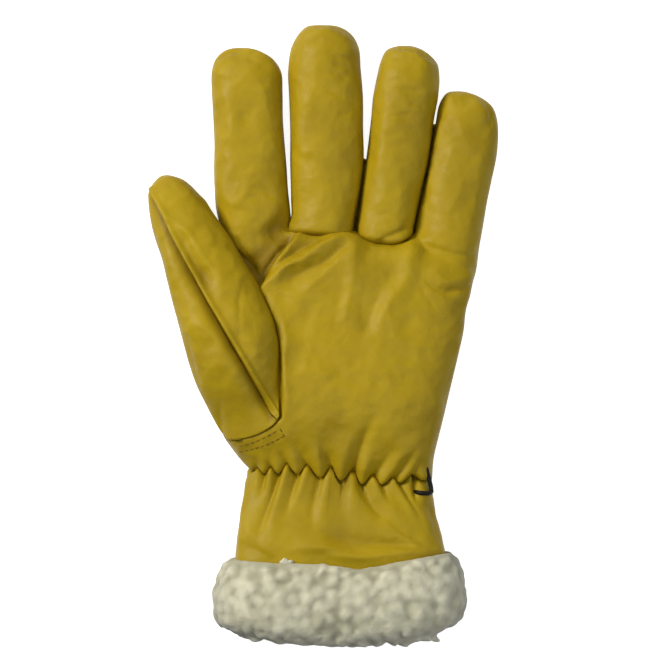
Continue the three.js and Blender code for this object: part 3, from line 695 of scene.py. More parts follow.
def fused(bm, voxel):
    """One closed skin round overlapping closed shapes. The bmesh that it is given is used up."""
    mesh = bpy.data.meshes.new("fused")
    bm.to_mesh(mesh)
    bm.free()
    obj = bpy.data.objects.new("fused", mesh)
    bpy.context.scene.collection.objects.link(obj)
    remesh = obj.modifiers.new("fuse", "REMESH")
    remesh.mode = "VOXEL"
    remesh.voxel_size = voxel
    graph = bpy.context.evaluated_depsgraph_get()
    skin = bmesh.new()
    skin.from_object(obj, graph)
    bpy.data.objects.remove(obj)
    bpy.data.meshes.remove(mesh)
    return skin


def relax(bm, times):
    """Takes the voxel steps out of a skin."""
    for _ in range(times):
        bmesh.ops.smooth_vert(
            bm, verts=bm.verts, factor=0.5, use_axis_x=True, use_axis_y=True, use_axis_z=True
        )


def keep_side(bm, point, outward):
    """Cuts the mesh with a plane and drops what lies on the outward side."""
    geom = bm.verts[:] + bm.edges[:] + bm.faces[:]
    bmesh.ops.bisect_plane(bm, geom=geom, dist=1e-5, plane_co=point, plane_no=outward, clear_outer=True)


def coordinates(bm):
    """The places and the normals of all vertices."""
    bm.normal_update()
    place = np.array([v.co for v in bm.verts])
    normal = np.array([v.normal for v in bm.verts])
    return place, normal


def place_all(bm, place):
    """Moves each vertex to its new place."""
    for vert, co in zip(bm.verts, place):
        vert.co = co


def paint(bm, name, values):
    """Keeps a number at each vertex for the material to read."""
    layer = bm.verts.layers.float.get(name) or bm.verts.layers.float.new(name)
    for vert, value in zip(bm.verts, values):
        vert[layer] = float(value)


def add_piece(name, bm, recipe, nodes=(), thickness=None):
    """Turns a finished shape in millimetres into a named piece that rides on the frame."""
    if not bm.faces:
        raise RuntimeError(f"{name} has no faces")
    bmesh.ops.scale(bm, vec=(METRES,) * 3, verts=bm.verts)
    for face in bm.faces:
        face.smooth = True
    mesh = bpy.data.meshes.new(name)
    bm.to_mesh(mesh)
    bm.free()
    mesh.materials.append(made_of(recipe))
    obj = bpy.data.objects.new(name, mesh)
    bpy.context.scene.collection.objects.link(obj)
    if thickness:
        wall = obj.modifiers.new("Leather thickness", "SOLIDIFY")
        wall.thickness = thickness
        wall.offset = -1
    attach(obj, "root")
    if nodes:
        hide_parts(*nodes)
    return obj


# Materials


def add_node(tree, kind, inputs=None, out=0, **settings):
    """Adds a shader node with its settings, socket values and links. Returns the output that is used."""
    node = tree.nodes.new(kind)
    for key, value in settings.items():
        setattr(node, key, value)
    for key, value in (inputs or {}).items():
        socket = node.inputs[key]
        if isinstance(value, bpy.types.NodeSocket):
            tree.links.new(value, socket)
        else:
            socket.default_value = value
    return node.outputs[out] if node.outputs else None


def made_of(recipe):
    """The material that a recipe gives. It has the recipe's name and is made once."""
    name = recipe.__name__
    if name not in bpy.data.materials:
        material = bpy.data.materials.new(name)
        material.use_nodes = True
        tree = material.node_tree
        tree.nodes.clear()
        where = add_node(tree, "ShaderNodeTexCoord", out="Object")
        scene = bpy.context.scene
        surface = recipe(tree, where, scene.glove_sizes, scene.glove_colours)
        add_node(tree, "ShaderNodeOutputMaterial", {"Surface": surface})
    return bpy.data.materials[name]


def per_mm(size):
    """The scale of a pattern whose marks are size millimetres apart."""
    return 1 / (size * METRES)


def golden_grain_leather(tree, where, sizes, colours):
    """Drum-dyed goat grain: a soft satin sheen, fine pebbles, faint patches, and painted shade that browns
    the leather deep in folds, at turned seams and under the thumb.
    """
    painted_crease_shade = add_node(tree, "ShaderNodeAttribute", out="Fac", attribute_name="painted_crease_shade")
    patches = add_node(
        tree, "ShaderNodeTexNoise", {"Vector": where, "Scale": per_mm(26), "Detail": 5.0, "Roughness": 0.6}
    )
    patch_share = add_node(
        tree,
        "ShaderNodeMapRange",
        {"Value": patches, "From Min": 0.38, "From Max": 0.66, "To Min": 0.0, "To Max": 0.6},
    )
    hide = add_node(
        tree,
        "ShaderNodeMix",
        {"Factor": patch_share, 6: (*colours.leather, 1), 7: (*colours.leather_shade, 1)},
        out=2,
        data_type="RGBA",
    )
    # Painted shade: the dark brown is mixed in where the mesh says the leather lies deep
    with_painted_shade = add_node(
        tree,
        "ShaderNodeMix",
        {"Factor": painted_crease_shade, 6: hide, 7: (*colours.leather_painted_shade, 1)},
        out=2,
        data_type="RGBA",
    )
    # Pebbles are drawn about twice their real size, because finer ones don't show at this distance
    pebbles = add_node(
        tree, "ShaderNodeTexVoronoi", {"Vector": where, "Scale": 1 / sizes.grain, "Randomness": 1.0}
    )
    wrinkles = add_node(
        tree, "ShaderNodeTexNoise", {"Vector": where, "Scale": per_mm(4.5), "Detail": 5.0, "Distortion": 1.2}
    )
    dents = add_node(tree, "ShaderNodeTexNoise", {"Vector": where, "Scale": per_mm(15), "Detail": 2.0})
    bump = None
    for height, strength, depth in ((pebbles, 0.14, 0.2), (wrinkles, 0.3, 0.6), (dents, 0.4, 2.0)):
        inputs = {"Height": height, "Strength": strength, "Distance": depth * METRES}
        if bump:
            inputs["Normal"] = bump
        bump = add_node(tree, "ShaderNodeBump", inputs)
    polish = add_node(
        tree,
        "ShaderNodeMapRange",
        {"Value": wrinkles, "From Min": 0.3, "From Max": 0.7, "To Min": 0.46, "To Max": 0.6},
    )
    return add_node(
        tree,
        "ShaderNodeBsdfPrincipled",
        {
            "Base Color": with_painted_shade,
            "Roughness": polish,
            "Normal": bump,
            "Specular IOR Level": 0.24,
            "IOR": 1.5,
        },
    )


def curly_wool_pile(tree, where, sizes, colours):
    """Sherpa pile knitted in cream wool: matt curls, pale at their tips, with painted shade that makes them
    duller low down between the locks.
    """
    rise = add_node(tree, "ShaderNodeAttribute", out="Fac", attribute_name="rise")
    tint = add_node(tree, "ShaderNodeTexNoise", {"Vector": where, "Scale": per_mm(12), "Detail": 4.0})
    tint_share = add_node(
        tree,
        "ShaderNodeMapRange",
        {"Value": tint, "From Min": 0.35, "From Max": 0.65, "To Min": -0.14, "To Max": 0.14},
    )
    # Painted shade: the wool darkens as it stands lower on the roll, with a little random tint on top
    share = add_node(tree, "ShaderNodeMath", {0: rise, 1: tint_share}, operation="ADD", use_clamp=True)
    wool = add_node(
        tree,
        "ShaderNodeMix",
        {"Factor": share, 6: (*colours.pile_painted_shade, 1), 7: (*colours.pile, 1)},
        out=2,
        data_type="RGBA",
    )
    curls = add_node(
        tree, "ShaderNodeTexNoise", {"Vector": where, "Scale": per_mm(3.2), "Detail": 3.0, "Distortion": 2.5}
    )
    # Fibres are drawn about five times their real thickness, because finer ones don't show at this distance
    fibres = add_node(
        tree,
        "ShaderNodeTexNoise",
        {"Vector": where, "Scale": per_mm(1.1), "Detail": 5.0, "Roughness": 0.7, "Distortion": 1.5},
    )
    curl_bump = add_node(
        tree, "ShaderNodeBump", {"Height": curls, "Strength": 0.25, "Distance": 0.8 * METRES}
    )
    bump = add_node(
        tree,
        "ShaderNodeBump",
        {"Height": fibres, "Strength": 0.6, "Distance": 0.6 * METRES, "Normal": curl_bump},
    )
    return add_node(
        tree,
        "ShaderNodeBsdfPrincipled",
        {
            "Base Color": wool,
            "Roughness": 0.95,
            "Normal": bump,
            "Specular IOR Level": 0.1,
            "Subsurface Weight": 0.7,
            "Subsurface Radius": (1.0, 0.95, 0.8),
            "Subsurface Scale": 5 * METRES,
            "Sheen Weight": 0.4,
            "Sheen Roughness": 0.5,
        },
    )


def black_coated_wire(tree, where, sizes, colours):
    """Spring wire dipped in black enamel: nearly black, with a dull gloss and slight waves."""
    waves = add_node(tree, "ShaderNodeTexNoise", {"Vector": where, "Scale": per_mm(1.2), "Detail": 2.0})
    tone = add_node(
        tree,
        "ShaderNodeMix",
        {"Factor": waves, 6: (*colours.wire, 1), 7: (*linear("#1c1a17"), 1)},
        out=2,
        data_type="RGBA",
    )
    bump = add_node(tree, "ShaderNodeBump", {"Height": waves, "Strength": 0.3, "Distance": 0.1 * METRES})
    return add_node(
        tree,
        "ShaderNodeBsdfPrincipled",
        {"Base Color": tone, "Roughness": 0.45, "Normal": bump, "Specular IOR Level": 0.2},
    )


def twisted_polyester_thread(tree, where, sizes, colours):
    """Bonded three-ply sewing thread, a shade browner than the leather."""
    plies = add_node(
        tree,
        "ShaderNodeTexWave",
        {"Vector": where, "Scale": per_mm(0.5), "Distortion": 1.0},
        out="Fac",
        bands_direction="DIAGONAL",
    )
    # The darker plies borrow the brown of the leather's painted shade
    tone = add_node(
        tree,
        "ShaderNodeMix",
        {"Factor": plies, 6: (*colours.leather_painted_shade, 1), 7: (*colours.thread, 1)},
        out=2,
        data_type="RGBA",
    )
    bump = add_node(tree, "ShaderNodeBump", {"Height": plies, "Strength": 0.4, "Distance": 0.1 * METRES})
    return add_node(
        tree,
        "ShaderNodeBsdfPrincipled",
        {"Base Color": tone, "Roughness": 0.6, "Normal": bump, "Specular IOR Level": 0.3},
    )


def matt_studio_card(tree, where, sizes, colours):
    """Seamless white card with a matt face, lit so that it reads as white."""
    tooth = add_node(tree, "ShaderNodeTexNoise", {"Vector": where, "Scale": per_mm(4), "Detail": 2.0})
    bump = add_node(tree, "ShaderNodeBump", {"Height": tooth, "Strength": 0.02, "Distance": 0.1 * METRES})
    return add_node(
        tree,
        "ShaderNodeBsdfPrincipled",
        {
            "Base Color": (*colours.floor, 1),
            "Roughness": 0.9,
            "Normal": bump,
            "Emission Color": (1, 1, 1, 1),
            "Emission Strength": 0.85,
        },
    )


# Pieces


def front_share(normal):
    """One where the skin faces up, nothing where it faces sideways or down."""
    return smoothstep(0.05, 0.6, normal[:, 2])


def tucked(distance, depth, width):
    """How far the skin sinks towards a turned seam."""
    return -depth * np.exp(-np.abs(distance) / width)


def side_seam(z):
    """How far the skin sinks towards the seam round the hand and the fingers."""
    return tucked(z - SEAM_HEIGHT, depth=1.3, width=1.1)


def painted_shade_share(depth, full, most=1.0, power=2.0):
    """How much painted shade the leather takes where it lies deep: all of it at the full depth."""
    return np.clip(depth / full, 0, most) ** power


class GLOVE_OT_palm(bpy.types.Operator):
    """Sew the palm, with the fronts of the index and little fingers in the same panel"""

    bl_idname = "glove.palm"
    bl_label = "Palm"

    def execute(self, context):
        sizes = context.scene.glove_sizes
        step = sizes.mesh_step / METRES
        bm = bmesh.new()
        add_tube(bm, HAND, around=160, step=1.3, squareness=HAND_SQUARENESS, bend=hand_bend)
        for finger in (INDEX, LITTLE):
            add_tube(bm, finger, around=84, step=1.3, squareness=FINGER_SQUARENESS)
        skin = fused(bm, PALM_COARSENESS * step)
        relax(skin, times=5)
        keep_side(skin, (0, 0, SEAM_HEIGHT), (0, 0, -1))
        keep_side(skin, (0, WRIST_Y, 0), (WRIST_SLOPE, -1, 0))
        place, normal = coordinates(skin)
        share = front_share(normal)
        x, y, z = place.T
        beside_wrist = y - (WRIST_Y + WRIST_SLOPE * x)
        # This moves y too, because y is a view of place
        place[:, 1] = y + zigzag(x) * np.exp(-beside_wrist / 5) * share
        folds = fold_height(PALM_FOLDS, place)
        gathers = gather_height(HAND_GATHERS + HAND_TUCKS, x, y)
        edge = side_seam(z) + tucked(beside_wrist, depth=1.1, width=0.9)
        pocket = smooth_curve(THUMB_POCKET, 1)[::-1]
        under_thumb = smoothstep(-0.4, 1.6, np.interp(y, pocket[:, 1], pocket[:, 0]) - x)
        under_thumb *= smoothstep(0.5, 3, y - edge_line(THUMB_BASE, x)) * smoothstep(24, 14, y)
        raised = (folds + gathers + rumple(place)) * share + edge - POCKET_DEPTH * under_thumb * share
        place_all(skin, place + normal * raised[:, None])
        # Painted shade: the leather is darker in the valleys of its folds and gathers, at the turned seams
        # and where it sinks under the thumb
        painted_shade_amount = painted_shade_share(-(folds + gathers) * share, full=5) + painted_shade_share(-edge, full=1.6) + under_thumb
        paint(skin, "painted_crease_shade", np.clip(0.5 * painted_shade_amount, 0, 1))
        add_piece("palm_leather", skin, golden_grain_leather, ["palm"], sizes.leather)
        return {"FINISHED"}


class GLOVE_OT_back(bpy.types.Operator):
    """Sew the back of the hand with the backs of the four fingers, flattened where it lies"""

    bl_idname = "glove.back"
    bl_label = "Back"

    def execute(self, context):
        sizes = context.scene.glove_sizes
        bm = bmesh.new()
        add_tube(bm, HAND, around=120, step=1.8, squareness=HAND_SQUARENESS, bend=hand_bend)
        for finger in (INDEX, MIDDLE, RING, LITTLE):
            add_tube(bm, finger, around=72, step=1.6, squareness=FINGER_SQUARENESS)
        for web in WEBS:
            add_tube(bm, web, around=24, step=1.6, squareness=FINGER_SQUARENESS)
        skin = fused(bm, sizes.mesh_step / METRES * BACK_COARSENESS)
        relax(skin, times=5)
        keep_side(skin, (0, 0, SEAM_HEIGHT), (0, 0, 1))
        keep_side(skin, (0, WRIST_Y, 0), (WRIST_SLOPE, -1, 0))
        place, normal = coordinates(skin)
        x, y, z = place.T
        beside_wrist = y - (WRIST_Y + WRIST_SLOPE * x)
        edge = side_seam(z) + tucked(beside_wrist, depth=1.9, width=1.2)
        ruffle = RUFFLE_HEIGHT * np.cos(2 * np.pi * x / RUFFLE_PITCH) * np.exp(-beside_wrist / 9)
        place = place + normal * (edge + ruffle + 0.5 * rumple(place))[:, None]
        place[:, 2] = np.maximum(place[:, 2], 0)
        place_all(skin, place)
        # Painted shade: the leather darkens towards the turned seams at its sides and at the wrist
        paint(skin, "painted_crease_shade", painted_shade_share(-edge, full=2.4, most=0.85))
        add_piece("back_leather", skin, golden_grain_leather, ["back"], sizes.leather)
        return {"FINISHED"}


class GLOVE_OT_finger_fronts(bpy.types.Operator):
    """Sew the separate fronts of the middle and ring fingers, rolled under at their base seam"""

    bl_idname = "glove.finger_fronts"
    bl_label = "Finger fronts"

    def execute(self, context):
        sizes = context.scene.glove_sizes
        step = sizes.mesh_step / METRES
        fingers = [
            ("middle_front_leather", "middle_finger_front", MIDDLE, MIDDLE_FOLDS, middle_bend),
            ("ring_front_leather", "ring_finger_front", RING, RING_FOLDS, ring_bend),
        ]
        for name, node, sections, table, bend in fingers:
            bm = bmesh.new()
            add_tube(bm, sections, around=132, step=step, squareness=FINGER_SQUARENESS, bend=bend)
            keep_side(bm, (0, 0, SEAM_HEIGHT), (0, 0, -1))
            place, normal = coordinates(bm)
            share = front_share(normal)
            x, y, z = place.T
            folds = fold_height(table, place) * share
            edge = side_seam(z)
            base = 1 - smoothstep(0.2, 3.2, y - bend(x, y) - sections[-1].y)
            soft = rumple(place) * share * (1 - base)
            place_all(bm, place + normal * (folds + soft + edge)[:, None])
            # Painted shade: darker in the valleys of the folds, at the side seams and along the base seam
            # where the front rolls under
            painted_shade_amount = painted_shade_share(-folds, full=3, most=0.8, power=1.6) + painted_shade_share(-edge, full=2.4, most=0.85)
            paint(bm, "painted_crease_shade", np.clip(painted_shade_amount + 0.7 * base, 0, 1))
            add_piece(name, bm, golden_grain_leather, [node], sizes.leather)
        return {"FINISHED"}


class GLOVE_OT_thumb(bpy.types.Operator):
    """Sew the thumb from an inner and an outer panel along one seam"""

    bl_idname = "glove.thumb"
    bl_label = "Thumb"

    def execute(self, context):
        sizes = context.scene.glove_sizes
        seam = smooth_curve(THUMB_SEAM, 1)[::-1]
        quarter = 38

        def turn(row, column):
            """Turns each ring so that its columns a quarter of the way round lie on the seam."""
            y, left, right = row.T[:3]
            seam_x = np.interp(y, seam[:, 1], seam[:, 0])
            for _ in range(4):
                seam_x = np.interp(y + thumb_bend(seam_x, y), seam[:, 1], seam[:, 0])
            across = np.clip((2 * seam_x - left - right) / np.maximum(right - left, 1e-6), -0.995, 0.995)
            at_seam = np.arccos(np.sign(across) * np.abs(across) ** (THUMB_SQUARENESS / 2))
            over = np.where(column > 2 * quarter, 4 * quarter - column, column)
            inner = over / quarter * at_seam
            outer = at_seam + (over / quarter - 1) * (np.pi - at_seam)
            angle = np.where(over <= quarter, inner, outer)
            return np.where(column > 2 * quarter, -angle, angle)

        for name, node, is_inner in (
            ("thumb_inner_leather", "thumb_inner", True),
            ("thumb_outer_leather", "thumb_outer", False),
        ):
            bm = bmesh.new()
            around = 4 * quarter
            made, ring, column = add_tube(bm, THUMB, around, 0.8, THUMB_SQUARENESS, thumb_bend, turn=turn)
            # A pole belongs to both panels, so it has no column
            column_of = dict(zip(made, np.where((ring == 0) | (ring == ring.max()), -1, column)))
            other_panel = []
            for face in bm.faces:
                columns = [column_of[v] for v in face.verts if column_of[v] >= 0]
                is_outer = all(quarter <= c <= 3 * quarter for c in columns)
                if is_outer == is_inner:
                    other_panel.append(face)
            bmesh.ops.delete(bm, geom=other_panel, context="FACES")
            bmesh.ops.remove_doubles(bm, verts=bm.verts, dist=0.02)
            place, normal = coordinates(bm)
            share = front_share(normal)
            x, y, z = place.T
            above_base = y - edge_line(THUMB_BASE, x)
            # The thumb's base settles onto the heel of the hand, just proud of it
            seat = (1 - smoothstep(1, 24, above_base)) * smoothstep(-0.2, 0.3, normal[:, 2])
            place[:, 2] = z + seat * (hand_surface(x, y) + 0.9 - z)
            distance, _ = line_distance(x, y, THUMB_SEAM)
            folds = fold_height(THUMB_FOLDS, place)
            if is_inner:
                piping = 1.7 * np.exp(-(((distance - 1.2) / 1.3) ** 2))
                seam_fold = piping - 3.2 * np.exp(-distance / 0.5)
            else:
                seam_fold = -2.5 * np.exp(-((distance / 3.2) ** 2))
            seam_fold = seam_fold * smoothstep(-1, 4, above_base)
            base = 1 - smoothstep(0, 1.6, above_base)
            raised = (folds + seam_fold + rumple(place) * (1 - seat)) * share - 1.2 * base
            place_all(bm, place + normal * raised[:, None])
            # Painted shade: darker in the valleys of the folds, beside the seam and along the base seam
            painted_shade_amount = painted_shade_share(-folds, full=3, most=0.8, power=1.6)
            painted_shade_amount += painted_shade_share(-seam_fold, full=3.2, most=0.8, power=1.6)
            paint(bm, "painted_crease_shade", np.clip(painted_shade_amount * share + 0.5 * base, 0, 0.95))
            add_piece(name, bm, golden_grain_leather, [node], sizes.leather)
        return {"FINISHED"}


class GLOVE_OT_cuff(bpy.types.Operator):
    """Sew the gathered leather cuff below the shirring line"""

    bl_idname = "glove.cuff"
    bl_label = "Cuff"

    def execute(self, context):
        sizes = context.scene.glove_sizes
        bm = bmesh.new()
        add_tube(bm, CUFF, around=300, step=0.75, squareness=HAND_SQUARENESS, bend=hand_bend, open_ends=True)
        place, normal = coordinates(bm)
        share = front_share(normal)
        x, y, z = place.T
        below_wrist = np.maximum(WRIST_Y + 0.4 + WRIST_SLOPE * x - y, 0)
        # This moves y too, because y is a view of place
        place[:, 1] = y + zigzag(x) * np.exp(-below_wrist / 5) * share
        folds = fold_height(CUFF_FOLDS, place)
        gathers = gather_height(CUFF_GATHERS + CUFF_TUCKS, x, y)
        ruffle = RUFFLE_HEIGHT * np.cos(2 * np.pi * x / RUFFLE_PITCH) * np.exp(-below_wrist / 12)
        edge = tucked(below_wrist, depth=1.7, width=0.9)
        soft = 0.6 * rumple(place) * smoothstep(0, 12, below_wrist)
        raised = (folds + gathers) * share + edge + ruffle * (1 - share) + soft
        place_all(bm, place + normal * raised[:, None])
        # Painted shade: darker in the valleys of the folds and gathers and at the shirring line
        painted_shade_amount = painted_shade_share(-(folds + gathers) * share, full=5) + painted_shade_share(-edge, full=2)
        paint(bm, "painted_crease_shade", np.clip(0.5 * painted_shade_amount, 0, 1))
        add_piece("cuff_leather", bm, golden_grain_leather, ["cuff"], sizes.leather)
        return {"FINISHED"}


def lock_shapes(ball, spots, outward, size, chance):
    """Draws balls out along arcs: one flat curled lock at each spot, its ends dipped into the roll."""
    count = len(spots)
    near_edge = np.clip((edge_line(PILE_EDGE, spots[:, 0]) + 3 - spots[:, 1]) / 12, 0.35, 1)
    long = size * chance.uniform(0.75, 1.3, count) * near_edge
    wide = chance.uniform(2.2, 3.8, count)
    bow = chance.uniform(0.2, 0.9, count) * chance.choice([-1, 1], count)
    spin = np.pi / 2 + chance.normal(0, 0.65, count)
    level = np.cross(outward, [0, 1, 0.35])
    level /= np.linalg.norm(level, axis=1)[:, None] + 1e-9
    other = np.cross(outward, level)
    forward = level * np.cos(spin)[:, None] + other * np.sin(spin)[:, None]
    sideways = np.cross(outward, forward)
    share = np.arcsin(np.clip(ball[:, 2], -1, 1)) / (np.pi / 2)
    girth = np.hypot(ball[:, 0], ball[:, 1]) ** 0.8
    around = np.arctan2(ball[:, 1], ball[:, 0])
    angle = share[None, :] * bow[:, None]
    radius = (long / 2 / np.abs(bow))[:, None]
    ahead = radius * np.sin(np.abs(angle)) * np.sign(share)[None, :]
    aside = radius * (1 - np.cos(angle)) * np.sign(bow)[:, None]
    # One end of each lock stands higher than the other, so the locks lap like leaves
    tilt = chance.uniform(-1.3, 1.3, count)[:, None] * share[None, :]
    lift = 1.0 * np.cos(share * np.pi / 2)[None, :] ** 0.7 - 0.9 + tilt * near_edge[:, None]
    lift -= (long**2 / 190)[:, None] * (share**2)[None, :]
    side = wide[:, None] * girth[None, :] * np.cos(around)[None, :]
    up = 0.48 * wide[:, None] * girth[None, :] * np.sin(around)[None, :]
    return (
        spots[:, None, :]
        + forward[:, None, :] * (ahead + side * -np.sin(angle))[..., None]
        + sideways[:, None, :] * (aside + side * np.cos(angle))[..., None]
        + outward[:, None, :] * (lift + up)[..., None]
    )


class GLOVE_OT_pile(bpy.types.Operator):
    """Roll the pile lining out over the cuff, thick with curled locks"""

    bl_idname = "glove.pile"
    bl_label = "Pile"

    def execute(self, context):
        sizes = context.scene.glove_sizes
        chance = np.random.default_rng(11)
        bm = bmesh.new()
        add_tube(bm, PILE, around=220, step=1.3, squareness=HAND_SQUARENESS, bend=pile_bend, open_ends=True)
        rims = [edge for edge in bm.edges if edge.is_boundary]
        bmesh.ops.bridge_loops(bm, edges=rims)
        bm.normal_update()
        roll = BVHTree.FromBMesh(bm)
        # Bridging leaves the faces in no fixed order, so they are sorted by their rounded places
        middles = np.array([f.calc_center_median() for f in bm.faces]).round(3)
        order = np.lexsort(middles.T)
        order = order[middles[order, 1] < edge_line(PILE_EDGE, middles[order, 0]) - 1.2]
        middles = middles[order]
        normals = np.array([f.normal for f in bm.faces]).round(3)[order]
        areas = np.array([f.calc_area() for f in bm.faces]).round(3)[order]
        # Each new lock takes the emptiest of a few chance spots, so none of the roll stays bare
        picks = []
        gaps = np.full(len(areas), np.inf)
        for _ in range(sizes.locks):
            tries = chance.choice(len(areas), 14, p=areas / areas.sum())
            best = tries[np.argmax(gaps[tries])]
            picks.append(best)
            gaps = np.minimum(gaps, np.linalg.norm(middles - middles[best], axis=1))
        ball = bmesh.new()
        bmesh.ops.create_uvsphere(ball, u_segments=8, v_segments=8, radius=1)
        lock_mesh = bpy.data.meshes.new("lock")
        ball.to_mesh(lock_mesh)
        unit = np.array([v.co for v in ball.verts])
        ball.free()
        tangle = bmesh.new()
        for _ in picks:
            tangle.from_mesh(lock_mesh)
        shapes = lock_shapes(unit, middles[picks], normals[picks], sizes.lock / METRES, chance)
        place_all(tangle, shapes.reshape(-1, 3))
        tangle.to_mesh(lock_mesh)
        tangle.free()
        bm.from_mesh(lock_mesh)
        bpy.data.meshes.remove(lock_mesh)
        skin = fused(bm, PILE_VOXEL)
        relax(skin, times=3)
        place, normal = coordinates(skin)
        fluff = 0.2 * swell(place, 7, 10) + 0.12 * swell(place, 2.6, 12)
        place = place + normal * (fluff * smoothstep(-99, -102, place[:, 1]))[:, None]
        rise = []
        for co in place:
            spot, facing, _, _ = roll.find_nearest(Vector(co))
            rise.append((Vector(co) - spot).dot(facing))
        place[:, 2] = np.maximum(place[:, 2], 0)
        place_all(skin, place)
        # Painted shade: the wool darkens where it lies low between the locks, and is palest where it stands
        # highest
        paint(skin, "rise", np.clip(0.3 + np.array(rise) / 2.6, 0, 1))
        piece = add_piece("pile_roll", skin, curly_wool_pile, ["pile_cuff"])
        return {"FINISHED"}


def add_wire(bm, points, radius, sides):
    """Adds a round wire along points, with rounded ends."""
    centres = np.array(points, float)
    count = len(centres) + 1
    made = bmesh.ops.create_uvsphere(bm, u_segments=sides, v_segments=count, radius=1)["verts"]
    tangent = np.gradient(centres, axis=0)
    tangent /= np.linalg.norm(tangent, axis=1)[:, None]
    # Any direction that the wire never takes will do to start from
    across = np.cross(tangent, [0.13, 0.21, 0.97])
    across /= np.linalg.norm(across, axis=1)[:, None]
    upward = np.cross(across, tangent)
    for vert in made:
        ring = round(math.acos(max(-1, min(1, vert.co.z))) / math.pi * count)
        angle = math.atan2(vert.co.y, vert.co.x)
        i = min(max(ring - 1, 0), len(centres) - 1)
        end = ring in (0, count)
        beyond = tangent[i] * (radius * 0.5 * (1 if ring else -1)) if end else 0
        reach = 0 if end else radius
        vert.co = centres[i] + beyond + reach * (math.cos(angle) * across[i] + math.sin(angle) * upward[i])
    bm.normal_update()
    bmesh.ops.recalc_face_normals(bm, faces=bm.faces[:])


class GLOVE_OT_hook(bpy.types.Operator):
    """Bend the wire hook that joins the pair"""

    bl_idname = "glove.hook"
    bl_label = "Hook"

    def execute(self, context):
        x, y, lift = smooth_curve(HOOK_ROUTE, 0.5).T
        near = 0.2
        height = hand_surface(x, y)
        slope = (hand_surface(x + near, y) - hand_surface(x - near, y)) / (2 * near)
        normal = np.column_stack([-slope, np.zeros(len(x)), np.ones(len(x))]) / np.hypot(slope, 1)[:, None]
        bm = bmesh.new()
        add_wire(bm, np.column_stack([x, y, height]) + normal * lift[:, None], radius=WIRE_RADIUS, sides=14)
        add_piece("hook_wire", bm, black_coated_wire, ["pair_hook"])
        return {"FINISHED"}


class GLOVE_OT_stitches(bpy.types.Operator):
    """Sew the rows of stitches across the base of the thumb and in the shirring line"""

    bl_idname = "glove.stitches"
    bl_label = "Stitches"

    def execute(self, context):
        sizes = context.scene.glove_sizes
        graph = context.evaluated_depsgraph_get()
        leather = [obj for obj in context.scene.objects if obj.name.endswith("_leather")]
        trees = [BVHTree.FromObject(obj, graph) for obj in leather]
        rows = [smooth_curve(path, sizes.stitch / METRES) for path in STITCH_ROWS]
        shirring = smooth_curve(WRIST_LINE, 1.3)
        shirring[:, 1] += 0.1
        rows.append(shirring[3:-3])
        bm = bmesh.new()
        for row in rows:
            for start, end in zip(row[:-1], row[1:]):
                self.add_stitch(bm, trees, start, end, sizes.thread / METRES)
        add_piece("stitches", bm, twisted_polyester_thread)
        return {"FINISHED"}

    def add_stitch(self, bm, trees, start, end, thread):
        """One stitch lies in the leather from start to end, with a gap at both of its ends."""
        ends = [self.on_leather(trees, *point) for point in (start, end)]
        way = ends[1] - ends[0]
        place = (ends[0] + ends[1]) / 2
        size = Vector((thread / 2, thread / 2, way.length * 0.42))
        matrix = Matrix.LocRotScale(place, way.to_track_quat("Z", "Y"), size)
        bmesh.ops.create_uvsphere(bm, u_segments=8, v_segments=6, radius=1, matrix=matrix)

    def on_leather(self, trees, x, y):
        """The highest leather over a point."""
        start = Vector((x, y, 200)) * METRES
        hits = [tree.ray_cast(start, Vector((0, 0, -1)))[0] for tree in trees]
        return max((hit for hit in hits if hit), key=lambda hit: hit.z) / METRES


class GLOVE_OT_tuft(bpy.types.Operator):
    """Pull a small tuft of the pile out over the edge of the cuff"""

    bl_idname = "glove.tuft"
    bl_label = "Tuft"

    def execute(self, context):
        chance = np.random.default_rng(5)
        bm = bmesh.new()
        for _ in range(16):
            x = TUFT_PLACE[0] + chance.normal(0, 1.2)
            y = TUFT_PLACE[1] + chance.normal(0, 0.7)
            height = hand_surface(np.array([x]), np.array([y]))[0] + 0.6 + chance.uniform(0, 0.8)
            spin = Vector(chance.normal(size=3)).to_track_quat("Z", "Y")
            size = Vector((0.8, 0.9, chance.uniform(1.2, 2.0)))
            matrix = Matrix.LocRotScale(Vector((x, y, height)), spin, size)
            bmesh.ops.create_uvsphere(bm, u_segments=8, v_segments=8, radius=1, matrix=matrix)
        skin = fused(bm, TUFT_VOXEL)
        relax(skin, times=2)
        paint(skin, "rise", np.ones(len(skin.verts)))
        add_piece("pale_tuft", skin, curly_wool_pile)
        return {"FINISHED"}


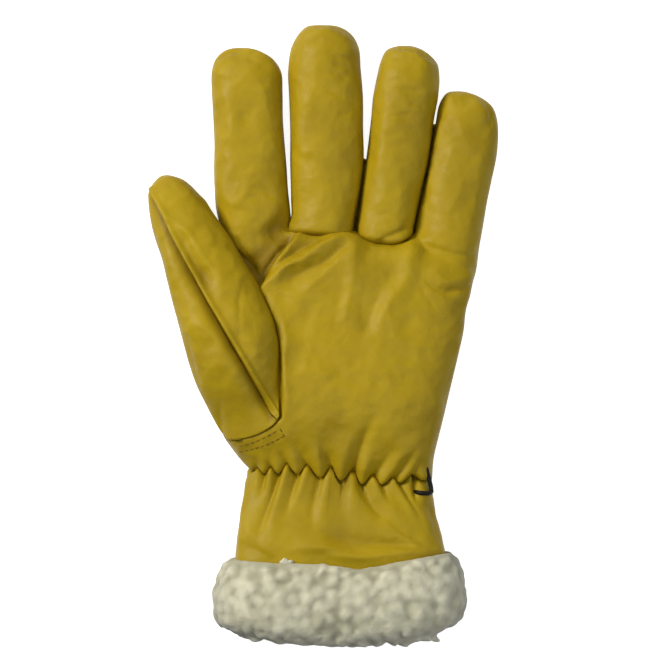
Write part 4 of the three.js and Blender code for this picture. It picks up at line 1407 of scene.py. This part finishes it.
class GLOVE_OT_stage(bpy.types.Operator):
    """Set up the floor, the soft lights and the camera"""

    bl_idname = "glove.stage"
    bl_label = "Stage"

    def execute(self, context):
        scene = context.scene
        bm = bmesh.new()
        bmesh.ops.create_grid(bm, x_segments=4, y_segments=4, size=3)
        mesh = bpy.data.meshes.new("studio_floor")
        bm.to_mesh(mesh)
        bm.free()
        mesh.materials.append(made_of(matt_studio_card))
        floor = bpy.data.objects.new("studio_floor", mesh)
        scene.collection.objects.link(floor)
        floor.visible_diffuse = False

        for light in LIGHTS:
            lamp = bpy.data.lights.new(light.name, "AREA")
            lamp.shape = "SQUARE"
            lamp.size = light.size
            lamp.energy = light.power
            lamp.color = linear(light.tint)
            obj = bpy.data.objects.new(light.name, lamp)
            scene.collection.objects.link(obj)
            obj.location = light.place
            obj.rotation_euler = (Vector(LIGHTS_AIM) - obj.location).to_track_quat("-Z", "Y").to_euler()

        world = bpy.data.worlds.new("studio_room")
        scene.world = world
        world.use_nodes = True
        background = world.node_tree.nodes["Background"]
        background.inputs["Color"].default_value = (*linear("#f4f4f2"), 1)
        background.inputs["Strength"].default_value = 0.1
        scene.view_settings.view_transform = "Standard"

        data = bpy.data.cameras.new("photo_camera")
        data.sensor_width = 36
        data.lens = data.sensor_width * CAMERA_DISTANCE / PICTURE_WIDTH
        data.clip_start = 0.05
        data.clip_end = 20
        camera = bpy.data.objects.new("photo_camera", data)
        scene.collection.objects.link(camera)
        camera.location = (*PICTURE_MIDDLE, CAMERA_DISTANCE + PICTURE_HEIGHT)
        scene.camera = camera
        return {"FINISHED"}


class GLOVE_PT_panel(bpy.types.Panel):
    """Lists the pieces of the glove"""

    bl_idname = "GLOVE_PT_panel"
    bl_label = "Work Glove"
    bl_space_type = "VIEW_3D"
    bl_region_type = "UI"
    bl_category = "Glove"

    def draw(self, context):
        for operator in OPERATORS:
            self.layout.operator(operator.bl_idname)
        for group in (context.scene.glove_sizes, context.scene.glove_colours):
            for name in group.bl_rna.properties.keys():
                if name not in ("rna_type", "name"):
                    self.layout.prop(group, name)


OPERATORS = (
    GLOVE_OT_palm,
    GLOVE_OT_back,
    GLOVE_OT_finger_fronts,
    GLOVE_OT_thumb,
    GLOVE_OT_cuff,
    GLOVE_OT_pile,
    GLOVE_OT_hook,
    GLOVE_OT_stitches,
    GLOVE_OT_tuft,
    GLOVE_OT_stage,
)
CLASSES = (GloveSizes, GloveColours, *OPERATORS, GLOVE_PT_panel)


def register():
    for cls in CLASSES:
        bpy.utils.register_class(cls)
    bpy.types.Scene.glove_sizes = bpy.props.PointerProperty(type=GloveSizes)
    bpy.types.Scene.glove_colours = bpy.props.PointerProperty(type=GloveColours)


def unregister():
    del bpy.types.Scene.glove_colours
    del bpy.types.Scene.glove_sizes
    for cls in reversed(CLASSES):
        bpy.utils.unregister_class(cls)


def main():
    register()
    bpy.ops.glove.palm()
    bpy.ops.glove.back()
    bpy.ops.glove.finger_fronts()
    bpy.ops.glove.thumb()
    bpy.ops.glove.cuff()
    bpy.ops.glove.pile()
    bpy.ops.glove.hook()
    bpy.ops.glove.stitches()
    bpy.ops.glove.tuft()
    bpy.ops.glove.stage()


if __name__ == "__main__":
    main()
